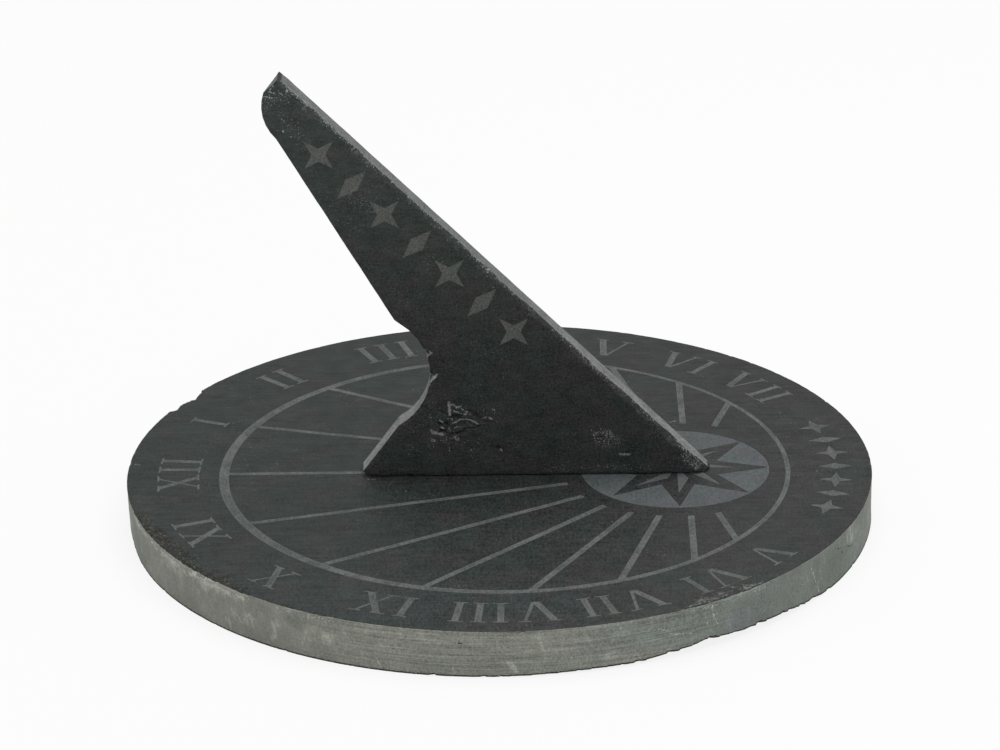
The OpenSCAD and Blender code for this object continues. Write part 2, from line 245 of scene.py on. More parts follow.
# A shell gathered from parts, whose corners are merged where they meet
class Shell:
    def __init__(self):
        self.points, self.triangles, self.finish, self.wearAndShade = [], [], [], []
        self.count = 0

    # One part: its corners, its triangles, the number of its finish and how worn its corners are, where
    # values below nothing also carry painted shade
    def add(self, points, triangles, finish, wearAndShade=0.0):
        points = points.reshape(-1, 3)
        self.points.append(points)
        self.triangles.append(triangles + self.count)
        self.finish.append(np.broadcast_to(finish, len(triangles)))
        self.wearAndShade.append(np.broadcast_to(np.ravel(wearAndShade), len(points)))
        self.count += len(points)

    # Bands between a pair of edge lines, where lines holds one row of corners for each step across
    def addBands(self, lines, finish, wearAndShade=0.0):
        rows, count = len(lines), len(lines[0])
        step = count * np.arange(rows - 1)[:, None]
        here, beside = step + np.arange(0, count, 2), step + np.arange(1, count, 2)
        triangles = np.stack([here, beside, beside + count, here, beside + count, here + count], -1)
        self.add(np.stack(lines), triangles.reshape(-1, 3), finish, wearAndShade)

    # The piece: corners closer than a thousandth of a millimetre become one, and flat triangles go
    def build(self, name, finishes, sharp):
        points = np.concatenate(self.points)
        triangles = np.concatenate(self.triangles)
        finish, wearAndShade = np.concatenate(self.finish), np.concatenate(self.wearAndShade)
        near = (points * 1000).round().astype(np.int64)
        first, index = np.unique(near, axis=0, return_index=True, return_inverse=True)[1:]
        triangles = index.reshape(-1)[triangles]
        whole = (triangles != np.roll(triangles, 1, axis=1)).all(1)
        triangles, finish = triangles[whole], finish[whole]
        used, index = np.unique(triangles, return_inverse=True)
        mesh = bpy.data.meshes.new(name)
        mesh.from_pydata((points[first[used]] * mm).tolist(), [], index.reshape(-1, 3).tolist())
        worn = mesh.attributes.new("wearAndShade", "FLOAT", "POINT")
        worn.data.foreach_set("value", wearAndShade[first[used]].astype(np.float32))
        for material in finishes:
            mesh.materials.append(material)
        mesh.polygons.foreach_set("material_index", finish.astype(np.int32))
        mesh.shade_smooth()
        mesh.set_sharp_from_angle(angle=math.radians(sharp))
        piece = bpy.data.objects.new(name, mesh)
        bpy.context.scene.collection.objects.link(piece)
        print("%s: %d corners, %d triangles" % (name, len(used), len(triangles)))
        return piece


# Materials

# A method that adds one Math node to a wire and a second value, which comes first where it is reflected
def operator(operation, reflected=False):
    def apply(self, other):
        values = (other, self) if reflected else (self, other)
        return self.nodes.add("ShaderNodeMath", {"operation": operation}, dict(enumerate(values)))

    return apply


# One socket of a node tree. Sums and products of wires and numbers add Math nodes.
class Wire:
    def __init__(self, nodes, socket):
        self.nodes, self.socket = nodes, socket

    __add__, __radd__ = operator("ADD"), operator("ADD", True)
    __sub__, __rsub__ = operator("SUBTRACT"), operator("SUBTRACT", True)
    __mul__, __rmul__ = operator("MULTIPLY"), operator("MULTIPLY", True)
    least, most = operator("MINIMUM"), operator("MAXIMUM")

    def __neg__(self):
        return self * -1

    def __abs__(self):
        return self.most(-self)

    # 0 at low, 1 at high and smooth between, where low may be the larger
    def rise(self, low, high):
        settings = {"interpolation_type": "SMOOTHSTEP"}
        values = {"Value": self, "From Min": low, "From Max": high}
        return self.nodes.add("ShaderNodeMapRange", settings, values)


# The nodes of a material or of the world
class Nodes:
    def __init__(self, owner, output):
        owner.use_nodes = True
        self.tree = owner.node_tree
        self.tree.nodes.clear()
        self.output = self.tree.nodes.new(output)

    # Any node: its type, its settings, and the values or links of its sockets
    def add(self, kind, settings, values, output=0):
        node = self.tree.nodes.new(kind)
        for name, value in settings.items():
            setattr(node, name, value)
        for name, value in values.items():
            self.give(node.inputs[name], value)
        return Wire(self, node.outputs[output])

    # A link, a colour or a number for one socket
    def give(self, socket, value):
        if isinstance(value, Wire):
            self.tree.links.new(value.socket, socket)
        elif isinstance(value, tuple) and len(value) == 3 and socket.type == "RGBA":
            socket.default_value = (*value, 1)
        else:
            socket.default_value = value

    # Vector maths on wires and tuples
    def vector(self, operation, values, output=0):
        return self.add("ShaderNodeVectorMath", {"operation": operation}, values, output)

    # What the surface shows
    def show(self, shader):
        self.give(self.output.inputs["Surface"], shader)


# One material being made, with Object coordinates in millimetres
class Maker(Nodes):
    def __init__(self, name, specular):
        self.material = bpy.data.materials.new(name)
        super().__init__(self.material, "ShaderNodeOutputMaterial")
        self.shader = self.tree.nodes.new("ShaderNodeBsdfPrincipled")
        self.shader.inputs["Specular IOR Level"].default_value = specular
        self.show(Wire(self, self.shader.outputs[0]))
        metres = self.add("ShaderNodeTexCoord", {}, {}, "Object")
        self.place = self.vector("SCALE", {0: metres, "Scale": 1 / mm})

    # How pale, above nothing, or dark, below it, the mesh says that a place is: its wear, and below nothing
    # also painted shade
    def wearAndShade(self):
        return self.add("ShaderNodeAttribute", {"attribute_name": "wearAndShade"}, {}, "Fac")

    # Noise about 0, mostly within 1 either way, whose features are size millimetres across, or size times
    # stretch along each axis, with the axes turned about X by tilt degrees
    def noise(self, size, detail=3, stretch=(1, 1, 1), shift=0, tilt=0):
        place = self.place
        if tilt:
            values = {"Vector": place, "Angle": math.radians(tilt)}
            place = self.add("ShaderNodeVectorRotate", {"rotation_type": "X_AXIS"}, values)
        shape = tuple(1 / (size * s) for s in stretch)
        values = {0: place, 1: shape, 2: (shift, shift * 1.7, -shift)}
        place = self.vector("MULTIPLY_ADD", values)
        values = {"Vector": place, "Scale": 1, "Detail": detail, "Roughness": 0.55}
        return self.add("ShaderNodeTexNoise", {}, values) * 5 - 2.5

    # 1 inside an ellipsoid round an upright axis, 0 outside it, and smooth over the soft share of its radius
    def spot(self, middle, radius, high, soft):
        shape = (1 / radius, 1 / radius, 1 / high)
        values = {0: self.place, 1: shape, 2: tuple(-m * s for m, s in zip(middle, shape))}
        away = self.vector("LENGTH", {0: self.vector("MULTIPLY_ADD", values)}, "Value")
        return away.rise(1, 1 - soft)

    # Sum of spots on the rim, each as bearing, height, radius, half height and amount
    def rimSpots(self, spots):
        total = 0
        for bearing, height, radius, high, amount in spots:
            turn = math.radians(bearing)
            middle = (plateRadius * math.sin(turn), plateRadius * math.cos(turn), height)
            total = total + amount * self.spot(middle, radius, high, 0.8)
        return total

    # Millimetres along one axis, where 0 is X and 2 is the height over the ground
    def along(self, axis):
        return self.add("ShaderNodeSeparateXYZ", {}, {0: self.place}, axis)

    # The first colour where the factor is 0 and the second where it is 1
    def mix(self, factor, first, second):
        return self.add("ShaderNodeMix", {"data_type": "RGBA"}, {0: factor, 6: first, 7: second}, 2)

    # A colour times an amount, which stays over 0.1
    def shade(self, colour, amount):
        return self.vector("SCALE", {0: colour, "Scale": amount.most(0.1)})

    # Height in millimetres as a bump
    def bump(self, height):
        normal = self.add("ShaderNodeBump", {}, {"Height": height, "Distance": mm, "Strength": 1})
        self.give(self.shader.inputs["Normal"], normal)

    # Pale crumbs where the wear is above nothing, brighter beyond 1, and dark ones mixed with middling ones
    # where it is below, which near -1 close up into solid painted shade. They lie closer together the further
    # the wear is from nothing.
    def crumbleAndShade(self, colour, look, size):
        wearAndShade = self.wearAndShade()
        crumbs = self.noise(size, 2, shift=41)
        pale = (crumbs + 2.4 * wearAndShade - 1.2).rise(0, 0.6) * wearAndShade.rise(0, 0.15)
        dark = (crumbs - 2.4 * wearAndShade - 1.2).rise(0, 0.6) * (-wearAndShade).rise(0, 0.15)
        bright = self.mix(wearAndShade.rise(1, 2), look["crumbPale"], look["crumbBright"])
        mixed = self.noise(size, 1, shift=43).rise(0.2, 0.7)
        colour = self.mix(pale, colour, bright)
        return self.mix(dark, colour, self.mix(mixed, look["crumbDarkAndShade"], look["crumbMiddleAndShade"]))

    # The finished material
    def paint(self, colour, roughness):
        self.give(self.shader.inputs["Base Color"], colour)
        self.give(self.shader.inputs["Roughness"], roughness)
        return self.material


# Half height in millimetres of a spot that goes right through the stone
tall = 1e4

dialLook = {
    "green": (0.0208, 0.0286, 0.0268),
    "brown": (0.0282, 0.0275, 0.0277),
    "speck": (0.12, 0.125, 0.12),
    "crumbDarkAndShade": (0.011, 0.011, 0.008),
    "crumbMiddleAndShade": (0.07, 0.068, 0.052),
    "crumbPale": (0.12, 0.122, 0.112),
    "crumbBright": (0.25, 0.25, 0.23),
    # the stretch of the face by the west rim, painted a little paler as painted light
    "westMiddle": (-125, 15, 16),
    "westRadius": 70,
    "westPaintedLight": 0.16,
    # the number band there, also painted paler as painted light
    "bandRadius": 97,
    "bandPaintedLight": 0.14,
}


# Fine grain and level streaks, browner towards the south, with painted light on the near, west side
def makeDialSlate():
    look = dialLook
    maker = Maker("dialSlate", 0.26)
    patches = maker.noise(16, 4, shift=3)
    clouds = maker.noise(6, 4, shift=11)
    grain = maker.noise(0.8, 2, stretch=(2.4, 1, 1), shift=5)
    streaks = maker.noise(0.5, 2, stretch=(2.4, 24, 1), shift=8)
    west = maker.spot(look["westMiddle"], look["westRadius"], tall, 0.7)
    specks = maker.noise(0.9, 1, shift=21).rise(0.9, 1.2) * maker.noise(24, 2, shift=31).rise(0.0, 0.8)
    north = maker.along(1).rise(-110, 60)
    paintedLitBand = (1 - maker.spot((0, 0, 0), look["bandRadius"], tall, 0.06)) * maker.along(0).rise(-60, -100)
    colour = maker.mix((patches + 0.35 - 0.65 * north).rise(-0.6, 0.6), look["green"], look["brown"])
    colour = maker.mix(specks * 0.7, colour, look["speck"])
    colour = maker.crumbleAndShade(colour, look, 0.7)
    calm = 1 - 0.45 * maker.along(0).rise(0, 90)
    varied = 1 + 0.22 * clouds + 0.44 * grain * calm + 0.22 * streaks
    # Painted light: the west stretch and the west part of the number band are made paler
    colour = maker.shade(colour, varied * (1 + look["westPaintedLight"] * west + look["bandPaintedLight"] * paintedLitBand))
    maker.bump(0.03 * grain + 0.01 * streaks + 0.04 * clouds)
    return maker.paint(colour, 0.6 + 0.06 * grain)


# The cut stone, which is a little bluer inside the compass rose
cutLook = {
    "dark": (0.078, 0.088, 0.083),
    "pale": (0.11, 0.116, 0.11),
    "rose": (0.08, 0.096, 0.094),
    "roseBlue": (0.09, 0.094, 0.102),
    "edge": (0.13, 0.14, 0.135),
    "roseMiddle": (-2.6, -58.9, 0),
    "roseRadius": 32.0,
}


# Faint patches, the rose's own tint, and a pale line round each cut
def makeDialCut():
    maker = Maker("dialCut", 0.25)
    grain = maker.noise(0.8, 3, stretch=(2, 1, 1), shift=2)
    patches = maker.noise(9, 3, shift=14)
    colour = maker.mix((0.5 * grain + patches).rise(-1, 1), cutLook["dark"], cutLook["pale"])
    rose = maker.spot(cutLook["roseMiddle"], cutLook["roseRadius"], tall, 0.02)
    field = maker.mix(maker.noise(7, 3, shift=19).rise(-0.5, 0.5), cutLook["rose"], cutLook["roseBlue"])
    colour = maker.mix(rose, colour, field)
    colour = maker.shade(colour, 1 + 0.24 * grain + 0.1 * patches)
    colour = maker.mix(maker.wearAndShade().most(0), colour, cutLook["edge"])
    maker.bump(0.02 * grain)
    return maker.paint(colour, 0.75 + 0.03 * grain)


rimLook = {
    "green": (0.212, 0.222, 0.192),
    "grey": (0.243, 0.245, 0.216),
    "cool": (0.205, 0.23, 0.207),
    "blue": (0.2, 0.213, 0.215),
    "pale": (0.4, 0.4, 0.355),
    "dark": (0.11, 0.118, 0.1),
    "crumbDarkAndShade": (0.02, 0.021, 0.018),
    "crumbMiddleAndShade": (0.07, 0.072, 0.06),
    "crumbPale": (0.43, 0.43, 0.385),
    "crumbBright": (0.5, 0.5, 0.45),
    # bearing, height, radius, half height and amount of each spot, where the rim is paler, darker and so on
    "paleSpots": [
        (297, 8.5, 7, 5, 1), (309.5, 7, 7, 4, 0.9), (305, 7, 4, 7, 0.5), (288, 2.5, 4, 4, 0.7),
        (284.5, 9, 4, 5, 0.4), (318, 13, 11, 4, 0.8), (329, 12, 9, 4, 0.7), (237, 10, 4, 6, 0.4),
        (215, 8, 4, 8, 0.4), (246, 3, 9, 3, 0.5), (269, 4, 8, 4, 0.5), (204, 12, 11, 6, 1),
        (258, 13, 8, 3, 0.4),
    ],
    "darkSpots": [
        (301, 11, 6, 5, 0.9), (307, 13, 5, 3, 0.6), (314, 4, 8, 4, 0.3), (291, 4, 6, 4, 0.5),
        (273, 9.5, 12, 2.5, 0.5), (280, 2, 8, 3, 0.4), (250, 6, 10, 3, 0.3), (228, 3, 9, 5, 0.6),
        (262, 2, 9, 2, 0.3), (209, 8, 16, 11, 0.75), (222, 6, 8, 6, 0.4), (238, 11, 6, 4, 0.3),
    ],
    "coolAndShadedSpots": [
        (228, 8, 50, 30, 1.6), (205, 8, 40, 30, 1.4), (252, 10, 30, 12, 0.7), (341, 8, 16, 12, 0.5),
    ],
    "blueSpots": [(231, 6, 14, 9, 1.1), (224, 12, 9, 6, 0.6)],
    # where the saw's level lines still show, on the west side facing the camera, which is also painted paler
    # there as painted light
    "sawnAndLitSpots": [(266, 8, 88, 1000, 1.6)],
}


# Level saw lines, clouds and streaks, with the tints of the spots over them, painted light on the west side
# and painted shade to the south-west
def makeRimSlate():
    look = rimLook
    maker = Maker("rimSlate", 0.3)
    fine = maker.noise(0.6, 2, stretch=(40, 40, 1), shift=4)
    coarse = maker.noise(1.8, 2, stretch=(30, 30, 1), shift=9)
    patches = maker.noise(15, 4, shift=6)
    clouds = maker.noise(5, 5, stretch=(1, 1, 1.3), shift=13)
    streaks = maker.noise(2.0, 4, stretch=(1, 1, 4), shift=15, tilt=18)
    veins = abs(maker.noise(11, 4, shift=33)).rise(0.05, 0.0) * maker.noise(9, 2, shift=35).rise(0.2, 0.8)
    grain = maker.noise(0.7, 3, shift=7)
    spots = ("paleSpots", "darkSpots", "coolAndShadedSpots", "blueSpots", "sawnAndLitSpots")
    pale, dark, cool, blue, sawn = (maker.rimSpots(look[name]) for name in spots)
    sawn = sawn.least(1)
    paler = (1.1 * pale + 0.7 * clouds + 0.8 * streaks).rise(0.35, 1.7) * 0.65
    colour = maker.mix(patches.rise(-0.5, 0.5), look["green"], look["grey"])
    colour = maker.mix((cool + 0.3 * clouds).rise(0.1, 1.0), colour, look["cool"])
    colour = maker.mix((blue + 0.5 * clouds).rise(0.2, 1.2) * 0.8, colour, look["blue"])
    colour = maker.mix((dark + 0.5 * clouds).rise(0.2, 1.2) * 0.55, colour, look["dark"])
    colour = maker.mix(paler, colour, look["pale"])
    colour = maker.mix(veins * 0.6, colour, look["pale"])
    # Painted light: the west side, where the saw lines show, is also made up to 8% paler
    lines = (0.08 + 0.24 * fine + 0.14 * coarse) * sawn
    rough = (0.17 + 0.13 * sawn) * grain + 0.12 * clouds
    # Painted shade: the rim is made up to 12% darker under the cool spots, most on the south-west stretch
    colour = maker.shade(colour, 1 + lines + rough - 0.12 * cool.least(1))
    colour = maker.crumbleAndShade(colour, look, 0.7)
    maker.bump((0.03 * fine + 0.03 * coarse) * sawn + 0.04 * grain)
    return maker.paint(colour, 0.75 + 0.03 * grain)


gnomonLook = {
    "green": (0.0272, 0.0338, 0.032),
    "brown": (0.0342, 0.0335, 0.0334),
    "speck": (0.15, 0.16, 0.155),
    "crumbDarkAndShade": (0.007, 0.007, 0.007),
    "crumbMiddleAndShade": (0.022, 0.022, 0.021),
    "crumbPale": (0.17, 0.176, 0.168),
    "crumbBright": (0.32, 0.32, 0.31),
    "cutDark": (0.092, 0.1, 0.092),
    "cutPale": (0.115, 0.118, 0.11),
}


# The gnomon's face has short level streaks, and is a little paler, greener and smoother towards its top
def makeGnomonSlate():
    look = gnomonLook
    maker = Maker("gnomonSlate", 0.2)
    high, low = maker.along(2).rise(50, 140), maker.along(2).rise(50, 20)
    patches = maker.noise(10, 4, stretch=(1, 1.6, 1), shift=17)
    clouds = maker.noise(4, 4, stretch=(1, 1.6, 1), shift=19)
    grain = maker.noise(0.65, 2, shift=23)
    streaks = maker.noise(0.6, 3, stretch=(1, 6, 1), shift=25)
    many = maker.noise(9, 3, shift=29).rise(0.0, 1.0)
    specks = maker.noise(0.6, 1, shift=27).rise(0.75, 1.05) * many
    colour = maker.mix((patches + 0.1 - 0.45 * high).rise(-0.4, 0.7), look["green"], look["brown"])
    colour = maker.mix(specks * 0.6, colour, look["speck"])
    colour = maker.crumbleAndShade(colour, look, 0.5)
    varied = 1.04 + 0.2 * clouds + (0.5 - 0.2 * high) * grain + 0.2 * streaks
    colour = maker.shade(colour, varied * (1 + 0.4 * high + 0.1 * low))
    maker.bump(0.05 * grain + 0.05 * clouds)
    return maker.paint(colour, 0.6 + 0.06 * grain)


# The cut motifs, paler and rougher than the face round them
def makeGnomonCut():
    maker = Maker("gnomonCut", 0.25)
    grain = maker.noise(0.7, 3, shift=2)
    patches = maker.noise(7, 3, shift=14).rise(-1, 1)
    colour = maker.mix(patches, gnomonLook["cutDark"], gnomonLook["cutPale"])
    maker.bump(0.03 * grain)
    return maker.paint(maker.shade(colour, 1 + 0.4 * grain), 0.75 + 0.03 * grain)


sawnLook = {
    "dark": (0.135, 0.142, 0.138),
    "pale": (0.185, 0.192, 0.188),
    "crumbDarkAndShade": (0.022, 0.023, 0.022),
    "crumbMiddleAndShade": (0.06, 0.063, 0.06),
    "crumbPale": (0.3, 0.3, 0.29),
    "crumbBright": (0.36, 0.36, 0.35),
    "heelMiddle": (-2.9, 38.0, 30.0),
    "heelRadius": 24.0,
    "heelHalfHeight": 34.0,
    "heelPaintedLight": 0.18,
}


# The sawn edges, with painted shade towards the tip and painted light at the heel, evening out the lamp,
# which lights the upper edges more than the heel
def makeGnomonSawn():
    look = sawnLook
    maker = Maker("gnomonSawn", 0.25)
    grain = maker.noise(0.8, 3, shift=2)
    lines = maker.noise(0.7, 2, stretch=(1, 12, 12), shift=3)
    heel = maker.spot(look["heelMiddle"], look["heelRadius"], look["heelHalfHeight"], 0.3)
    # Painted light: paler at the heel and, higher up, darker as painted shade
    paler = (1 + look["heelPaintedLight"] * heel) * (1.22 - 0.33 * maker.along(2).rise(15, 100))
    colour = maker.mix(maker.noise(6, 3, shift=14).rise(-1, 1), look["dark"], look["pale"])
    colour = maker.shade(colour, (1 + 0.4 * grain + 0.1 * lines) * paler)
    colour = maker.crumbleAndShade(colour, look, 0.6)
    maker.bump(0.04 * grain + 0.01 * lines)
    return maker.paint(colour, 0.75 + 0.03 * grain)


# A plain finish whose grain mixes two colours
def makePlain(name, dark, pale, roughness, metallic, grainSize):
    maker = Maker(name, 0.5)
    grain = maker.noise(grainSize, 4, shift=1)
    maker.shader.inputs["Metallic"].default_value = metallic
    maker.bump(0.008 * grain)
    return maker.paint(maker.mix(grain.rise(-1, 1), dark, pale), roughness + 0.04 * grain)


# The dial plate

plate = {
    "around": 1200,  # corners round the rim
    "sharpAngle": 40,  # in degrees, past which an edge is drawn sharp
    "seamRadius": 119.5,  # where the rim's grid meets the net of the top
    "undersideRadius": 110.0,  # where it meets the net of the underside
    "topSpacing": 1.7,
    "fleckSpacing": 0.45,
    "undersideSpacing": 4.0,
    "boreRadius": 2.25,  # of the screws' holes
    "boreRoom": 0.75,  # round the washers
    "boreCorners": 64,
    "markStep": 0.9,  # longest edge of an engraved outline
    "markDepth": 0.08,
    "wobble": 0.05,  # how far the hand-cut outlines stray
    "edgeWear": 0.15,
    "topMean": -0.11,  # the relief of the top stays under the top of the box
    "wallInset": 0.06,
    "smallChips": 45,
    # lower edge: length and height of its steps, height of its nicks, how far it breaks away inwards
    "stepLength": 5.0,
    "stepHeight": 0.75,
    "nickHeight": 1.2,
    "breakReach": (0.5, 2.2),
    "wallWaves": 0.1,
    "sawDepth": 0.03,
    "drawnIn": 0.55,  # of the wall at the ground in the north and south
    # bearing and half width in degrees, reach inwards and drop of each chip in the upper edge
    "chips": [
        (342, 6, 0.5, 0.5), (335, 5, 0.8, 0.7), (328, 5, 1.3, 0.9), (320, 6, 1.9, 1.4), (313, 4, 1.7, 1.1),
        (301, 2, 0.7, 0.4), (295, 1.3, 0.7, 0.4), (240, 3, 1, 0.6), (234, 4, 1.2, 0.8), (228, 3, 0.9, 0.6),
        (205, 2, 0.6, 0.5), (29.8, 3.5, 3, 3.5), (25.8, 2, 1.6, 2.2), (3, 0.8, 1, 0.6),
        (266.5, 0.5, 0.6, 0.7), (261, 0.4, 0.4, 0.3),
    ],
    # bearing and height of the lower edge above the ground, all the way round
    "lift": [
        (0, 1), (7, 0.3), (20, 0.6), (31, 1.5), (40, 0.4), (60, 0.1), (82, 0.1), (95, 1.1), (103, 1.7),
        (112, 0.5), (130, 0.1), (140, 1.3), (147, 1.9), (155, 0.5), (172, 0.1), (187, 0.4), (200, 0.2),
        (210, 0.1), (213, 0.4), (216, 1.1), (219, 1.3), (222, 2), (225, 2.1), (228, 2.6), (231, 2),
        (234, 2.6), (237, 3.2), (238.5, 3.3), (240, 2.5), (243, 2.2), (246, 1.6), (249, 1.1), (252, 0.9),
        (258, 0.8), (264, 0.5), (270, 0.2), (278, 0.1), (290, 0.05), (336, 0.05), (342, 0.3), (345, 1),
        (348, 2), (352, 2.4), (356, 1.7), (360, 1),
    ],
    # crumbled stretches of the upper edge: bearing, half width, reach inwards and tone
    "crumbs": [
        (327, 18, 8, -1), (234.5, 8, 6, 0.65), (236, 9, 2, -0.6), (30, 6, 3, -0.5), (300, 6, 1.6, -0.6),
    ],
    # marks on the rim's wall: half width, tone, depth, and points as bearing and height
    "rimMarks": [
        (0.5, 0.7, 0, 237.5, 15, 237, 10, 235.8, 5.8), (0.4, 0.6, 0, 238.6, 12.5, 238.2, 8),
        (0.5, 0.65, 0, 216.5, 13.5, 215.4, 8, 214, 1.5), (0.4, 0.5, 0, 214.2, 12, 213.4, 5),
        (0.35, 0.75, 0.1, 246.5, 11.2, 244.8, 9.8, 244.2, 8, 240.8, 7),
        (0.4, -0.9, 0.1, 208.5, 12.2, 207, 11.3), (0.4, -0.9, 0.1, 207, 10, 206.2, 8.6),
        (0.4, -0.8, 0.1, 204.4, 9.4, 201.8, 7.2), (0.4, -0.9, 0.1, 276.2, 11.5, 275, 11.5),
        (0.35, 0.5, 0, 276, 10.8, 274.8, 10.7), (0.6, 0.45, 0.1, 285, 11.5, 284.6, 8.5, 283.8, 5.8),
        (0.5, -0.5, 0.1, 285.6, 9, 285, 6), (0.6, 0.8, 0.15, 288, 4.5, 287.2, 1),
        (0.45, 0.55, 0, 312.5, 7.8, 310.8, 5.5), (0.45, 0.6, 0, 311.2, 8.2, 309.8, 5.8),
        (0.45, 0.6, 0, 309.8, 9.2, 308.8, 7.5), (0.4, 0.5, 0, 305.2, 11.8, 304.5, 10, 304, 2.2),
        (0.4, 0.4, 0, 306, 9.2, 305.8, 4), (0.8, 0.35, 0, 298, 11.5, 297, 7),
        (0.6, -0.45, 0.1, 269, 10.8, 268, 9.6), (0.7, 0.4, 0.1, 266.6, 10, 264.8, 8.8),
        (0.5, -0.5, 0.1, 267.5, 9, 266, 9.4), (0.9, 0.75, 0.15, 318.5, 13.4, 314.5, 14, 312, 14.6),
        (1.2, 0.4, 0.1, 331.8, 12.5, 327, 12, 323, 12.2), (0.7, 0.4, 0.1, 334, 14, 324, 13.8),
    ],
    # small pale marks on the top: half width, tone, depth and points
    "flecks": [
        (0.5, 0.9, 0, 37.2, -60.4, 36.4, -58.6), (0.35, 0.6, 0, 33.5, -59.5, 32.8, -60.6),
        (0.6, 0.7, 0, -35.2, 39.2), (0.5, 0.6, 0, -39.6, -9.2), (0.5, 0.6, 0, -54.5, -15, -53, -14),
        (0.5, 0.7, 0, -96.5, -51.1), (0.7, 1, 0, 5.8, 123, 5.2, 121.5), (0.4, 0.5, 0, -36, -1, -34.5, 0),
        (0.5, 0.8, 0, -8.9, 43.6, -8.6, 41.6), (0.4, 0.6, 0, -8.4, 39),
    ],
}


# Sum of shallow arches, each as high as its bite and as wide, the highest one counting
def biteHeights(bearing, bites, seed):
    heights = [np.zeros_like(bearing) for _ in bites[0][2:]]
    for middle, half, *sizes in bites:
        away = (bearing - middle + 180) % 360 - 180
        arch = np.clip(1 - (away / half) ** 2, 0, 1) ** 0.6
        heights = [np.maximum(height, size * arch) for height, size in zip(heights, sizes)]
    turn = np.radians(bearing)
    ring = spread(plateRadius * np.sin(turn), plateRadius * np.cos(turn), 0)
    ragged = np.clip(0.75 + 0.9 * roughNoise(ring, 3.0, 3, seed), 0.1, 1.4)
    return [height * ragged for height in heights]


# Height of the top over its mean, always below nothing: broad waves and small ones of noise
def topRelief(x, y):
    place = spread(x, y, 0)
    waves = 0.09 * roughNoise(place, 30, 3, 5) + 0.02 * smoothNoise(place, 5, 9)
    return waves + plate["topMean"]


# Tone of the crumbled stretches of the top's edge: full at the edge and fading inwards, broken up by noise
def edgeCrumbs(x, y):
    bearing = np.degrees(np.arctan2(x, y)) % 360
    inward = plateRadius - np.hypot(x, y)
    broken = roughNoise(spread(x, y, 0), 1.6, 3, 44)
    tone = np.zeros_like(x)
    for middle, half, reach, most in plate["crumbs"]:
        away = ((bearing - middle + 180) % 360 - 180) / half
        width = reach * np.clip(1 - away**2, 0, 1) ** 0.5
        full = smoothStep(1.1, 0.3, inward / np.maximum(width, 0.01) + 0.7 * broken)
        tone = stronger(tone, most * full * smoothStep(0, 0.3, width))
    return tone


# Tone of the whole top: that of the crumbled edge or of the flecks, whichever is stronger
def topWear(x, y):
    flecks = markField(x.ravel(), y.ravel(), plate["flecks"], 47)[1]
    return stronger(edgeCrumbs(x, y), flecks.reshape(x.shape))


